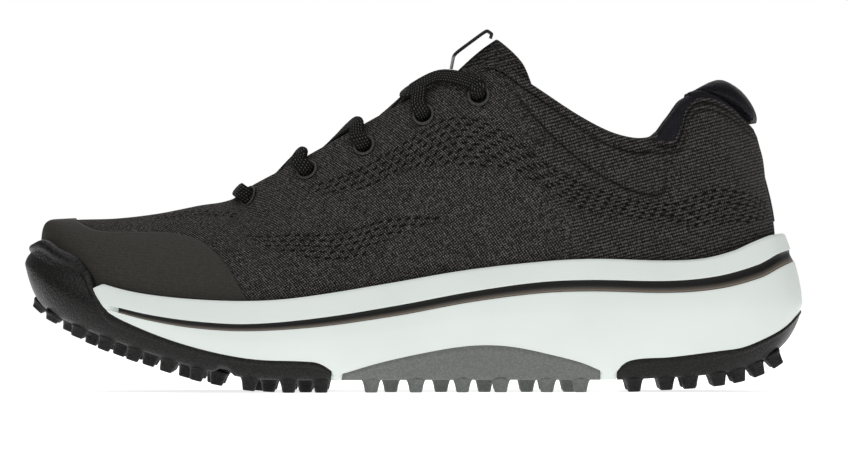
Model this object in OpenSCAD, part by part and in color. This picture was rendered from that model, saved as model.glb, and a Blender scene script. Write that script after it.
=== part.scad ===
// Spikeless golf shoe for a right foot. The toe points towards -X, the inner side faces -Y and
// the shoe stands on Z = 0. Lengths are millimetres on a 280 mm shoe, graded by shoe_length.

/* [Size] */
// Overall length of the shoe, from the toe bumper to the heel
shoe_length = 280; // [250:1:315]

/* [Upper] */
// Thickness of the knitted upper
knit_thickness = 1.5; // [1.2:0.1:1.6]
// Thickness of the textile lining
lining_thickness = 0.8; // [0.6:0.1:0.9]
// Thickness of the film overlay round the toe
guard_thickness = 0.8; // [0.5:0.1:0.9]
// Thickness of the foam in the ankle collar
collar_foam_thickness = 4.4; // [3.0:0.2:4.6]

/* [Tongue and lace] */
// Thickness of the foam in the tongue
tongue_foam_thickness = 3.6; // [2.6:0.2:4.0]
// Radius of the hole through an eyelet ring
eyelet_bore = 3.0; // [2.8:0.1:3.1]
// Width of the lace
lace_width = 4.4; // [4.0:0.1:4.8]
// Thickness of the lace
lace_thickness = 1.6; // [1.4:0.1:1.6]

/* [Sole] */
// Thickness of the moulded outsole pieces
outsole_thickness = 1.9; // [1.6:0.1:2.0]
// Depth of the channel round the midsole
channel_depth = 1.6; // [1.2:0.1:2.0]
// Thickness of the removable footbed
footbed_thickness = 4.5; // [3.5:0.1:5.0]
// Height of a stud
stud_height = 4.5; // [4.0:0.1:5.0]
// Radius of a stud where it leaves the outsole
stud_base = 3.1; // [2.7:0.1:3.3]
// Radius of a stud at its tip
stud_tip = 2.2; // [1.8:0.1:2.4]

/* [Hidden] */
grade = shoe_length / 280;
$fn = 24;

knit_black = [0.13, 0.125, 0.12];
film_black = [0.17, 0.165, 0.15];
lycra_black = [0.08, 0.08, 0.10];
lace_black = [0.10, 0.095, 0.09];
rubber_black = [0.11, 0.105, 0.10];
foam_white = [0.89, 0.92, 0.90];
plate_grey = [0.42, 0.44, 0.43];
board_beige = [0.75, 0.72, 0.66];
inlay_brown = [0.25, 0.22, 0.20];
foam_grey = [0.45, 0.45, 0.46];

// ---- Curves -----------------------------------------------------------------------------------

function mix(a, b, t) = a + (b - a) * t;
function clamp(v, low, high) = max(low, min(high, v));
function ease(t) = let (s = clamp(t, 0, 1)) s * s * (3 - 2 * s);
// 0 outside a..d and 1 between b and c, with smooth ends.
function window(v, a, b, c, d) = ease((v - a) / (b - a)) * ease((d - v) / (d - c));
function unit(v) = v / norm(v);

// Smooth curve through rows [key, value], where a value is a number or a point.
function row_below(rows, key, i = 0) =
    i >= len(rows) - 2 || key < rows[i + 1][0] ? i : row_below(rows, key, i + 1);
function slope(rows, i) =
    let (a = max(i - 1, 0), b = min(i + 1, len(rows) - 1))
    (rows[b][1] - rows[a][1]) / (rows[b][0] - rows[a][0]);
function curve(rows, key) =
    let (
        k = clamp(key, rows[0][0], rows[len(rows) - 1][0]),
        i = row_below(rows, k),
        h = rows[i + 1][0] - rows[i][0],
        t = (k - rows[i][0]) / h,
        s = 1 - t
    )
    rows[i][1] * (1 + 2 * t) * s * s + slope(rows, i) * h * t * s * s
    + rows[i + 1][1] * t * t * (3 - 2 * t) - slope(rows, i + 1) * h * t * t * s;

function bezier(a, b, c, d, t) =
    let (s = 1 - t) s * s * s * a + 3 * s * s * t * b + 3 * s * t * t * c + t * t * t * d;

// ---- Plan of the sole -------------------------------------------------------------------------

// Widest outline of the sole. Station 0 is the toe and station 13 the heel, on either side.
inner_side = [
    [-140, -8], [-137, -22], [-126, -35.5], [-106, -45.5], [-80, -50.5], [-52, -51], [-22, -46.5],
    [12, -40.5], [46, -38], [80, -38.5], [110, -36], [130, -25.5], [138, -12.5], [140, 0]
];
outer_side = [
    [-140, -8], [-138, 6], [-128, 21.5], [-108, 35.5], [-80, 45], [-50, 50.5], [-20, 51],
    [14, 47.5], [48, 43.5], [82, 41], [111, 37], [130.5, 26], [138, 13], [140, 0]
];
heel_station = 13;
outline = concat(inner_side, [for (i = [heel_station - 1:-1:1]) outer_side[i]]);

// A negative w runs along the inner side, a positive one along the outer side, and |w| is the
// station. The two meet at the toe, 0, and at the heel.
function fold(w) = w > heel_station ? w - 2 * heel_station : w < -heel_station ? w + 2 * heel_station : w;
function outline_knot(i) = outline[((i % len(outline)) + len(outline)) % len(outline)];
// Catmull-Rom point of the closed outline.
function outline_at(w) =
    let (
        i = floor(-w), t = -w - i,
        a = outline_knot(i - 1), b = outline_knot(i), c = outline_knot(i + 1), d = outline_knot(i + 2)
    )
    0.5 * (2 * b + (c - a) * t + (2 * a - 5 * b + 4 * c - d) * t * t
        + (3 * b - a - 3 * c + d) * t * t * t);
function outline_out(w) =
    let (d = outline_at(w + 0.02) - outline_at(w - 0.02)) unit([-d[1], d[0]]);
function plan_x(w) = outline_at(w)[0];
// Point inside the outline by inset, at height z.
function inside_edge(w, inset, z) =
    let (p = outline_at(w) - inset * outline_out(w)) [p[0], p[1], z];

// ---- Side view of the sole --------------------------------------------------------------------

// Rise of the outsole's underside above the flat middle, which stands on the studs.
toe_spring = [
    [-140, 38.5], [-138.5, 32.5], [-134.5, 27], [-128, 22.5], [-110, 15], [-92, 8.7], [-75, 3.7],
    [-60, 0.9], [-45, 0], [70, 0], [90, 0.8], [105, 1.8], [117, 3.8], [126, 7.3], [133, 12.5],
    [137.5, 18], [140, 23.5]
];
belly = [
    [-140, 46], [-130, 38], [-110, 30], [-80, 21.5], [-55, 18], [-10, 22], [25, 27], [70, 29],
    [110, 30], [140, 32]
];
rim = [
    [-140, 50.5], [-131, 45.5], [-124, 42.5], [-117, 40], [-103, 36.3], [-86, 34], [-66, 32.9],
    [-50, 33.2], [-35, 34.8], [-9, 39], [20, 44], [49, 47.2], [66, 47.9], [90, 47.3], [104, 48],
    [117, 50.8], [125, 53.8], [132, 56], [140, 57]
];
channel_top = [
    [-111, 31.4], [-95, 27.7], [-78, 25.3], [-59, 24.4], [-34, 26.5], [-5, 31.1], [20, 35.8],
    [45, 39.3], [63, 40.1], [92, 39.8], [110, 41.6], [125, 45.5], [133, 49], [140, 51]
];
channel_low = [
    [-111, 30.4], [-95, 26.2], [-78, 23.4], [-59, 22.4], [-34, 23.9], [-5, 28], [20, 32.6],
    [45, 35.8], [63, 36.5], [92, 36], [110, 37.5], [125, 41.2], [133, 44.7], [140, 47.3]
];
forefoot_edge = [
    [-140, 53], [-136, 54.3], [-131, 51.2], [-124.5, 48], [-121, 44.4], [-118, 40.5], [-115.4, 36],
    [-111.8, 31], [-109, 27.3], [-99, 22.4], [-85, 17.3], [-70, 13.4], [-56, 11.2], [-36, 10.3],
    [-32, 9], [-28, 6.4]
];
arch_edge = [
    [-25, 6.4], [-12, 10], [2, 13], [16, 15.3], [26, 15.9], [36, 15.2], [49, 12.6], [60, 9.8],
    [68, 6.6]
];
heel_edge = [
    [72, 6.4], [75, 9.6], [80, 11.1], [92, 11.8], [110, 14.1], [118, 15.4], [125, 18.2], [132, 22],
    [136, 25.2], [140, 30]
];

// How far inside the outline the rim, the channel and the upper stand.
rim_inset = [[-140, 2.2], [-117, 4.2], [-60, 5], [60, 5.2], [110, 5.6], [140, 6.4]];
upper_inset = [[-140, 5.8], [-117, 7.2], [-60, 8], [60, 8], [110, 8.8], [140, 9.8]];
corner = 6;
wall_lean = 1.6;
cup_depth = 7;
gap = 0.1;
facet_gap = 0.35;
bed_gap = 0.8;

function floor_z(x) = stud_height + max(0, curve(toe_spring, x));
function platform_z(w) = curve(rim, plan_x(w)) - cup_depth;

// Share of the rim's inset at a share a of the height. The toe bumper's wall leans in less.
bumper_lean = 0.8;
lean_gain = 0.4;
lean_start = -130;
lean_blend = 10;
function lean(x, a) =
    min(pow(a, wall_lean), bumper_lean + lean_gain * ease((x - lean_start) / lean_blend));

// Point of the sole's outer wall, pushed in by push. A negative a runs from the belly up to the
// rim at -1, a positive one down the rounded corner to the underside at 1.
function wall(w, a, push = 0) =
    let (x = plan_x(w), z = curve(belly, x))
    a <= 0
        ? inside_edge(w, curve(rim_inset, x) * lean(x, -a) + push, mix(z, curve(rim, x), -a))
        : let (inset = corner * (1 - cos(90 * a)), low = floor_z(inside_edge(w, inset, 0)[0]))
            inside_edge(w, inset + push * cos(90 * a), mix(z, low, sin(90 * a)) + push * sin(90 * a));
// The a at which the wall is at height z.
function wall_at(w, z) =
    let (x = plan_x(w), middle = curve(belly, x))
    z >= middle ? -(z - middle) / (curve(rim, x) - middle)
        : asin(clamp((middle - z) / (middle - floor_z(x)), 0, 1)) / 90;

// The three outsole pieces meet the midsole's bare bridges at these stations.
forefoot_end = 5.77;
arch_start = 5.90;
arch_end = 8.59;
heel_start = 8.77;
function is_covered(u) =
    u <= forefoot_end + 0.01 || (u >= arch_start - 0.01 && u <= arch_end + 0.01) || u >= heel_start - 0.01;
function edge_z(w) =
    let (u = abs(w), x = plan_x(w))
    u < (forefoot_end + arch_start) / 2 ? curve(forefoot_edge, x)
        : u < (arch_end + heel_start) / 2 ? curve(arch_edge, x) : curve(heel_edge, x);
function edge_at(w) = wall_at(w, edge_z(w));

// ---- Upper ------------------------------------------------------------------------------------

// Top line of the inner side: the ridge of the vamp up to the throat, the throat's edge, then
// the collar. The outer side mirrors it across the ridge.
throat_start = 5;
throat_end = 8;
// Height just short of the top line, where directions are taken.
near_edge = 0.97;
top_line = [
    [0, [-127.5, -8, 61.6]], [1, [-119, -7.4, 62]], [2, [-106, -6.2, 62.4]], [3, [-92, -5, 64.1]],
    [4, [-78, -4, 67]], [5, [-66, -3.4, 69.3]], [5.4, [-59, -11, 74]], [6, [-44, -15.5, 82]],
    [7, [-9, -19, 101.5]], [7.6, [13, -20.5, 113.5]], [8, [27, -22, 118]], [8.4, [40, -25.5, 110.6]],
    [9, [59, -29.5, 97.8]], [9.5, [73, -31, 91]], [10, [84.5, -31.3, 90.2]],
    [10.4, [91, -30.5, 97]], [10.8, [97, -28.5, 104]], [11.3, [104.5, -24.5, 106]],
    [12, [113.5, -15.5, 102.2]], [12.5, [119, -8, 97]], [13, [121.5, 0, 94.2]]
];
ridge_y = [[0, -8], [5, -3.4], [8, -1.5], [13, 0]];

function top_at(w) =
    let (p = curve(top_line, abs(w)), m = curve(ridge_y, abs(w)))
    [p[0], w <= 0 || w <= throat_start ? p[1] : 2 * m - p[1], p[2]];
function foot_at(w) = inside_edge(w, curve(upper_inset, plan_x(w)), platform_z(w) + 2 * gap);

// Handles of the curve that rises from the sole to the top line, by station.
rise = [[0, 17], [1, 17], [3, 20], [5, 24], [7, 30], [9, 22], [11, 18], [13, 16]];
bulge = [[0, 0], [3, 1], [6, 2.5], [9, 3.5], [11, 1.5], [13, 0.6]];
spread = [
    [0, 6.5], [1, 10], [2, 15], [3, 19], [4, 20], [5, 19], [6, 14], [7, 13], [8, 10], [9, 2.5],
    [11, 3], [13, 3.6]
];
drop = [[0, 0], [4.4, 0], [5.4, 4], [6, 6], [7, 9], [8, 14], [9, 18], [11, 20], [13, 15]];

// Outer surface of the upper: t is 0 at the sole and 1 at the top line.
function skin(v, t) =
    let (
        w = fold(v), u = abs(w), foot = foot_at(w), top = top_at(w), n = outline_out(w),
        out = [n[0], n[1], 0], aside = unit([foot[0] - top[0], foot[1] - top[1], 0])
    )
    bezier(
        foot, foot + [0, 0, curve(rise, u)] + curve(bulge, u) * out,
        top + curve(spread, u) * mix(aside, out, ease((u - 5) / 3)) - [0, 0, curve(drop, u)], top, t
    );
function ridge_out(u) =
    let (d = curve(top_line, min(u + 0.05, throat_start)) - curve(top_line, max(u - 0.05, 0)))
    unit([-d[2], 0, d[0]]);
function skin_out(w, t) =
    t > 0.999 && abs(w) <= throat_start + 0.001 ? ridge_out(abs(w)) :
    let (
        along = skin(w + 0.03, t) - skin(w - 0.03, t),
        up = skin(w, min(t + 0.01, 1)) - skin(w, max(t - 0.01, 0))
    )
    unit(cross(up, along));
// Point at a depth below the outer surface.
function under(w, t, depth) = skin(w, t) - depth * skin_out(w, t);

// What lies between the knit and the lining. Each layer keeps a thin edge.
thin = 0.3;
function layer(full, cover) = thin + (full - thin) * cover;
function puff_at(w, t) = layer(1.2, window(abs(w), -1, -0.5, 1.6, 2.7) * window(t, -0.2, -0.1, 0.6, 0.9));
function counter_at(w, t) = layer(1.6, window(abs(w), 9.9, 10.8, 20, 21) * window(t, -0.2, -0.1, 0.3, 0.6));
function stay_at(w, t) = layer(0.8, window(abs(w), 5.1, 5.6, 7.8, 8.2) * window(t, 0.6, 0.72, 1.1, 1.2));
function foam_at(w, t) =
    layer(collar_foam_thickness, window(abs(w), 8.2, 9.4, 20, 21) * window(t, 0.5, 0.8, 0.92, 1.12));
function filling(w, t) = max(puff_at(w, t), counter_at(w, t), stay_at(w, t), foam_at(w, t));
function lining_depth(w, t) = knit_thickness + 2 * gap + filling(w, t);
function inside_depth(w, t) = lining_depth(w, t) + lining_thickness;

// The grid that all layers share: three columns a station, ten rows from the sole to the top.
columns = 3;
row_count = 9;
function cols(from, to) = [for (i = [round(from * columns):round(to * columns)]) fold(i / columns)];
function rows(from = 0, to = row_count) = [for (j = [from:to]) j / row_count];
all_columns = [for (i = [-heel_station * columns:heel_station * columns - 1]) i / columns];

// ---- Solids from grids ------------------------------------------------------------------------

function quad(a, b, c, d) = [[a, c, b], [a, d, c]];

// Closed solid between two grids of points of one size. With wrap the last row meets the first.
// closed_ends leaves out the faces at the first and last rows, where a section has no width, and
// joined[i] those of the far rim, where two rows meet.
module between(outer, inner, wrap = false, closed_ends = [false, false], joined = []) {
    n = len(outer);
    m = len(outer[0]);
    half = n * m;
    last = wrap ? n - 1 : n - 2;
    polyhedron(
        points = concat([for (r = outer) each r], [for (r = inner) each r]),
        faces = concat(
            [for (i = [0:last], j = [0:m - 2]) let (k = (i + 1) % n)
                each quad(i * m + j, i * m + j + 1, k * m + j + 1, k * m + j)],
            [for (i = [0:last], j = [0:m - 2]) let (k = (i + 1) % n)
                each quad(half + i * m + j, half + k * m + j, half + k * m + j + 1, half + i * m + j + 1)],
            [for (i = [0:last]) let (k = (i + 1) % n)
                each quad(i * m, k * m, half + k * m, half + i * m)],
            [for (i = [0:last]) if (len(joined) == 0 || !joined[i]) let (k = (i + 1) % n)
                each quad(i * m + m - 1, half + i * m + m - 1, half + k * m + m - 1, k * m + m - 1)],
            wrap || closed_ends[0] ? [] : [for (j = [0:m - 2])
                each quad(j, half + j, half + j + 1, j + 1)],
            wrap || closed_ends[1] ? [] : [for (j = [0:m - 2]) let (e = (n - 1) * m + j)
                each quad(e, e + 1, half + e + 1, half + e)]
        )
    );
}

// Two columns meet along the ridge of the vamp, on either side of the toe.
function meets_ridge(w) = w >= -throat_start - 0.001 && w < throat_start - 0.001;

// A patch of a layer, between two depths below the outer surface.
module patch(ws, ts, top = 0, bottom = 0) {
    between(
        [for (w = ws) [for (t = ts) under(w, t, top)]],
        [for (w = ws) [for (t = ts) under(w, t, bottom)]]
    );
}

// ---- Upper's own parts ------------------------------------------------------------------------

// The knit is one cloth. Its plain forefoot and its ribbed heel meet at this station.
knit_change = 7;
module knit(ws) {
    color(knit_black)
    difference() {
        between(
            [for (w = ws) [for (t = rows()) skin(w, t)]],
            [for (w = ws) [for (t = rows()) under(w, t, knit_thickness)]],
            joined = [for (w = ws) meets_ridge(w)]
        );
        eyelet_holes();
    }
}
module knit_forefoot() {
    knit(cols(-knit_change, knit_change));
}
module knit_heel() {
    knit(cols(knit_change, 2 * heel_station - knit_change));
}

guard_end = 4.67;
// Share of the upper's height that the toe guard covers, by station.
guard_height = [
    [0, 1], [0.7, 1], [1.1, 0.8], [1.4, 0.71], [1.8, 0.61], [2.2, 0.57], [3, 0.58], [3.6, 0.56],
    [3.9, 0.52], [4.2, 0.45], [4.5, 0.3], [4.67, 0.16]
];
guard_rows = 6;
guard_gap = 0.9;
function guard_top(u) = u < 0.7 ? 1 : curve(guard_height, u);
function guard_line(w, out) = [for (j = [0:guard_rows]) under(w, guard_top(abs(w)) * j / guard_rows, -out)];
module toe_guard() {
    ws = cols(-guard_end, guard_end);
    color(film_black)
    between(
        [for (w = ws) guard_line(w, guard_gap + guard_thickness)],
        [for (w = ws) guard_line(w, guard_gap)],
        joined = [for (w = ws) abs(w) < 0.68 && abs(w + 1 / columns) < 0.68]
    );
}

module toe_puff() {
    ws = cols(-2.67, 2.67);
    color(foam_grey)
    between(
        [for (w = ws) [for (t = rows(0, 7)) under(w, t, knit_thickness + gap)]],
        [for (w = ws) [for (t = rows(0, 7)) under(w, t, knit_thickness + gap + puff_at(w, t))]]
    );
}

module heel_counter() {
    ws = cols(10, 16);
    color(foam_grey)
    between(
        [for (w = ws) [for (t = rows(0, 5)) under(w, t, knit_thickness + gap)]],
        [for (w = ws) [for (t = rows(0, 5)) under(w, t, knit_thickness + gap + counter_at(w, t))]]
    );
}

module eyestay(ws) {
    color(foam_grey)
    difference() {
        between(
            [for (w = ws) [for (t = rows(6)) under(w, t, knit_thickness + gap)]],
            [for (w = ws) [for (t = rows(6)) under(w, t, knit_thickness + gap + stay_at(w, t))]]
        );
        eyelet_holes();
    }
}

module collar_foam() {
    ws = cols(8.67, 17.34);
    color(foam_grey)
    between(
        [for (w = ws) [for (t = rows(6)) under(w, t, knit_thickness + gap)]],
        [for (w = ws) [for (t = rows(6)) under(w, t, knit_thickness + gap + foam_at(w, t))]]
    );
}

module lining() {
    color(knit_black)
    difference() {
        between(
            [for (w = all_columns) [for (t = rows()) under(w, t, lining_depth(w, t))]],
            [for (w = all_columns) [for (t = rows()) under(w, t, inside_depth(w, t))]],
            wrap = true, joined = [for (w = all_columns) meets_ridge(w)]
        );
        eyelet_holes();
    }
}

// Rounded tape over the edges of knit, foam and lining, on either side of the ankle.
binding_height = 1.4;
binding_steps = 4;
function top_up(w) = unit(skin(w, 1) - skin(w, 0.98));
function binding_point(w, k, height) =
    let (
        a = 180 * k / binding_steps, half = (inside_depth(w, 1) + 0.4) / 2,
        middle = under(w, 1, inside_depth(w, 1) / 2) + 2 * gap * top_up(w)
    )
    middle + half * cos(a) * skin_out(w, 1) + height * sin(a) * top_up(w);
module binding_side(ws) {
    between(
        [for (w = ws) [for (k = [0:binding_steps]) binding_point(w, k, binding_height)]],
        [for (w = ws) [for (k = [0:binding_steps]) binding_point(w, k, 0)]]
    );
}
module collar_binding() {
    color(knit_black) {
        binding_side(cols(8, 10.33));
        binding_side(cols(15.67, 18));
    }
}

// ---- Heel pillow ------------------------------------------------------------------------------

// Centre of the padded roll by station on the inner side, and its half height and half thickness.
pillow_centre = [
    [10.4, [91.8, -27.4, 99.6]], [10.67, [95.4, -26.4, 103.9]], [11.3, [103.5, -22.3, 107.6]],
    [12, [111, -14.5, 107]], [12.5, [114.6, -7.8, 104.4]], [13, [115.7, 0, 103]]
];
pillow_half_height = [[10.4, 1.2], [10.67, 1.6], [11.3, 3], [12, 6.8], [12.5, 9.6], [13, 10.4]];
pillow_half_thickness = [[10.4, 1.8], [10.67, 2.1], [11.3, 2.8], [12, 4.6], [12.5, 5.5], [13, 5.7]];
pillow_lean = 38;
pillow_sides = 12;
pillow_lift = 1.3;
function pillow_ring(v) =
    let (
        w = fold(v), u = abs(w), c = curve(pillow_centre, u),
        middle = [c[0], w <= 0 ? c[1] : 2 * curve(ridge_y, u) - c[1], c[2]],
        n = outline_out(w), out = [n[0], n[1], 0],
        tall = cos(pillow_lean) * [0, 0, 1] - sin(pillow_lean) * out,
        wide = sin(pillow_lean) * [0, 0, 1] + cos(pillow_lean) * out,
        top = skin(w, 1), up = top_up(w)
    )
    [for (k = [0:pillow_sides - 1]) let (
        a = 360 * k / pillow_sides,
        p = middle + curve(pillow_half_thickness, u) * cos(a) * wide
            + curve(pillow_half_height, u) * sin(a) * tall
    ) p + max(0, pillow_lift - (p - top) * up) * up];
module heel_pillow() {
    rings = [for (w = concat([10.4], cols(10.67, 15.33), [-10.4])) pillow_ring(w)];
    color(lycra_black) tube(rings);
}

// Closed solid through rings of points.
module tube(rings) {
    n = len(rings);
    m = len(rings[0]);
    polyhedron(
        points = [for (r = rings) each r],
        faces = concat(
            [for (i = [0:n - 2], j = [0:m - 1]) let (k = (j + 1) % m)
                each quad(i * m + j, i * m + k, (i + 1) * m + k, (i + 1) * m + j)],
            [for (k = [1:m - 2]) [0, k, k + 1]],
            [for (k = [1:m - 2]) [(n - 1) * m, (n - 1) * m + k + 1, (n - 1) * m + k]]
        )
    );
}

module back_seam_tape() {
    ws = [12.9, 13, -12.9];
    color(film_black) patch(ws, rows(2), -facet_gap - 0.5, -facet_gap);
}

// ---- Eyelets ----------------------------------------------------------------------------------

// Station and height of each eyelet on either side, from the toe.
eyelets = [[5.24, 0.89], [6.06, 0.86], [6.64, 0.82], [7.26, 0.82], [7.82, 0.8]];
eyelet_wall = 0.35;
eyelet_rim = 1.1;
eyelet_hole = eyelet_bore + eyelet_wall + 0.25;

// Stands its children on the upper's surface, with their Z axis outwards.
module on_skin(w, t) {
    p = skin(w, t);
    z = skin_out(w, t);
    x = unit(cross([0, 0, 1], z));
    y = cross(z, x);
    multmatrix([
        [x[0], y[0], z[0], p[0]], [x[1], y[1], z[1], p[1]], [x[2], y[2], z[2], p[2]], [0, 0, 0, 1]
    ]) children();
}
module eyelet_holes() {
    for (side = [-1, 1], e = eyelets)
        on_skin(side * e[0], e[1]) cylinder(r = eyelet_hole, h = 12, center = true, $fn = 12);
}
module eyelet_ring() {
    reach = 3.4;
    low = 0.85;
    high = 1.4;
    rotate_extrude($fn = 32)
    polygon([
        [eyelet_bore, -reach], [eyelet_bore + eyelet_wall, -reach], [eyelet_bore + eyelet_wall, low],
        [eyelet_bore + eyelet_rim, low], [eyelet_bore + eyelet_rim, high - 0.2],
        [eyelet_bore + eyelet_rim - 0.3, high], [eyelet_bore, high]
    ]);
}
module eyelet_row(side) {
    color(film_black) for (e = eyelets) on_skin(side * e[0], e[1]) eyelet_ring();
}

// ---- Tongue -----------------------------------------------------------------------------------

// Line across the throat: v is -1 and 1 under the flaps and 0 on the centre line. The middle
// stretch is an arch from one edge of the throat to the other.
arch_share = 0.6;
arch_fullness = 0.22;
flap_overlap = 0.22;
function arch(u, s) =
    let (
        a = skin(-u, 1), b = skin(u, 1), h = arch_fullness * norm(b - a),
        ta = unit(a - skin(-u, near_edge)), tb = unit(b - skin(u, near_edge))
    )
    bezier(a, a + h * ta, b + h * tb, b, s);
tongue_neck = [
    [-1, [29.8, -21.4, 104]], [-0.6, [27.5, -17, 114.5]], [0, [20.5, -1.5, 121]],
    [0.6, [27.5, 14.5, 114.5]], [1, [30.3, 19.6, 103.5]]
];
tongue_tip = [
    [-1, [44, -18, 107.5]], [-0.6, [39, -14.5, 119]], [0, [29.8, -1.5, 127.8]],
    [0.6, [39, 11.5, 119]], [1, [44, 15, 107.5]]
];
tongue_start = 5.2;
tongue_end = 9;
tongue_depth = 7;
neck_start = 7.2;
function throat_line(u, v) =
    abs(v) <= arch_share ? arch(u, 0.5 + 0.5 * v / arch_share)
        : skin((v < 0 ? -1 : 1) * u, 1 - flap_overlap * (abs(v) - arch_share) / (1 - arch_share));
function throat_in(u, v) =
    let (
        across = throat_line(u, v + 0.02) - throat_line(u, v - 0.02),
        along = throat_line(u + 0.03, v) - throat_line(u - 0.03, v)
    )
    unit(cross(across, along));
function tongue_base(u, v) =
    let (k = clamp(v, -near_edge, near_edge)) throat_line(u, v) + tongue_depth * throat_in(u, k);
// Above the lacing the tongue leaves the throat's shape for its own neck and tip.
function tongue_at(u, v) =
    u <= neck_start ? tongue_base(u, v)
        : curve([
            [neck_start - 0.4, tongue_base(neck_start - 0.4, v)], [neck_start, tongue_base(neck_start, v)],
            [throat_end, curve(tongue_neck, v)], [tongue_end, curve(tongue_tip, v)]
        ], u);
function tongue_in(u, v) =
    let (
        across = tongue_at(u, min(v + 0.03, 1)) - tongue_at(u, max(v - 0.03, -1)),
        along = tongue_at(min(u + 0.04, tongue_end), v) - tongue_at(u - 0.04, v)
    )
    unit(cross(across, along));
// Share of a layer's full thickness: thin at both sides and where the tongue is sewn down.
function tongue_cover(u, v) = (1 - pow(v, 4)) * ease((u - tongue_start) / 0.7);
tongue_us = [for (i = [0:12]) tongue_start + (tongue_end - tongue_start) * i / 12];
tongue_vs = [for (j = [5:-1:-5]) j / 5];
module tongue_layer(top, full, edge) {
    between(
        [for (u = tongue_us) [for (v = tongue_vs) tongue_at(u, v) + top * tongue_in(u, v)]],
        [for (u = tongue_us) [for (v = tongue_vs)
            tongue_at(u, v) + (top + mix(edge, full, tongue_cover(u, v))) * tongue_in(u, v)]]
    );
}
module tongue_face() {
    color(knit_black) tongue_layer(0, 1, 0.7);
}
module tongue_foam() {
    color(foam_grey) tongue_layer(1.1, tongue_foam_thickness, 0.5);
}
module tongue_lining() {
    color(knit_black) tongue_layer(1.2 + tongue_foam_thickness, 0.7, 0.7);
}

// Ribbon loop that stands proud of the tongue's top.
keeper_width = 13;
keeper_line = [[13.2, 116.4], [14.2, 121.6], [26, 130.3], [27.9, 129], [27.4, 127.4]];
keeper_thickness = 0.9;
module lace_keeper() {
    n = len(keeper_line);
    along = [for (i = [0:n - 1]) unit(keeper_line[min(i + 1, n - 1)] - keeper_line[max(i - 1, 0)])];
    inner = [for (i = [0:n - 1]) keeper_line[i] + keeper_thickness * [along[i][1], -along[i][0]]];
    color(board_beige)
    translate([0, keeper_width / 2 - 1.5, 0])
    rotate([90, 0, 0])
    linear_extrude(keeper_width) polygon(concat(keeper_line, [for (i = [n - 1:-1:0]) inner[i]]));
}

// ---- Lace -------------------------------------------------------------------------------------

// Middle of the lace above a flap, out from its edge, below it, and at the levels of a crossing.
lace_over = 2.0;
lace_at_edge = 1.9;
edge_clear = 1.2;
lace_inside = 5.2;
lace_cross = [3.9, 5.8];
last_cross_lift = 3.2;
// How far a run has got towards the next eyelet where it leaves a flap, crosses and lands.
// The last run lands lower and lies along the flap's edge.
leave_share = 0.35;
cross_share = 0.5;
last_cross_share = 0.05;
land_share = 1.06;
last_land_share = -0.1;
along_share = 0.45;
along_lift = 2.5;
// Where it passes a ring: depth inside it, and distances from its middle on either side.
ring_depth = 1.2;
below_ring = 0.5;
above_ring = 1.6;
flap_reach = 4.2;
lace_dip = 0.4;
tail_drop = 0.3;
function reverse(list) = [for (i = [len(list) - 1:-1:0]) list[i]];
// Direction on the flap towards the throat's edge.
function to_edge(w, t) = unit(skin(w, min(t + 0.04, 1)) - skin(w, t - 0.04));

// Knots [point, direction that the flat of the lace faces] of one run, from eyelet k on one side,
// under the flap, across the throat and over the other flap to eyelet k + 1. turn is 1 or -1.
function lace_run(k, side, turn) =
    let (
        a = side * eyelets[k][0], ta = eyelets[k][1],
        b = -side * eyelets[k + 1][0], tb = eyelets[k + 1][1],
        leave = side * mix(eyelets[k][0], eyelets[k + 1][0], leave_share),
        land = -side * mix(eyelets[k][0], eyelets[k + 1][0], k == 3 ? last_land_share : land_share),
        lie = -side * mix(eyelets[k][0], eyelets[k + 1][0], along_share),
        middle = mix(eyelets[k][0], eyelets[k + 1][0], k == 3 ? last_cross_share : cross_share),
        level = (k + (side > 0 ? 1 : 0)) % 2,
        cross_depth = lace_cross[level] - (k == 3 ? last_cross_lift : 0)
    )
    [
        [under(a, ta, ring_depth), -turn * to_edge(a, ta)],
        [
            under(a, ta, lace_inside - 1) + below_ring * to_edge(a, ta),
            -turn * unit(skin_out(a, ta) + to_edge(a, ta))
        ],
        [under(leave, near_edge, lace_inside), -turn * skin_out(leave, near_edge)],
        [under(leave, 1, lace_inside) + to_edge(leave, near_edge), -turn * skin_out(leave, near_edge)],
        [arch(middle, 0.5) + cross_depth * throat_in(middle, 0), turn * throat_in(middle, 0)],
        [
            under(land, 1, -lace_at_edge) + edge_clear * to_edge(land, near_edge),
            -turn * skin_out(land, 0.98)
        ],
        if (k == 3) [
            under(lie, 0.98, -lace_over - 1) + along_lift * to_edge(lie, 0.98), -turn * skin_out(lie, 0.98)
        ],
        [under(b, tb, -lace_over - lace_dip) + flap_reach * to_edge(b, tb), -turn * skin_out(b, tb)],
        [
            under(b, tb, lace_dip - lace_over) + above_ring * to_edge(b, tb),
            -turn * unit(skin_out(b, tb) - to_edge(b, tb))
        ]
    ];
// The end goes in at the top eyelet and lies inside the flap, with an aglet at its tip.
tail = [[7.72, 0.7], [7.6, 0.61], [7.5, 0.52]];
function lace_tail(side, turn) =
    let (e = eyelets[4], w = side * e[0])
    concat(
        [
            [under(w, e[1], ring_depth), turn * to_edge(w, e[1])],
            [
                under(w, e[1], lace_inside - 1) - below_ring * to_edge(w, e[1]),
                -turn * unit(skin_out(w, e[1]) - to_edge(w, e[1]))
            ]
        ],
        [for (q = tail)
            [under(side * q[0], q[1], lace_inside + tail_drop), -turn * skin_out(side * q[0], q[1])]]
    );
function strand(side) = concat(
    lace_run(0, side, 1), lace_run(1, -side, -1), lace_run(2, side, 1), lace_run(3, -side, -1),
    lace_tail(side, 1)
);
function bar_knots(side) =
    let (w = side * eyelets[0][0], t = eyelets[0][1])
    [
        [under(w, t, -lace_over - lace_dip) + flap_reach * to_edge(w, t), skin_out(w, t)],
        [under(w, t, lace_dip - lace_over) + above_ring * to_edge(w, t), unit(skin_out(w, t) - to_edge(w, t))]
    ];
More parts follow.
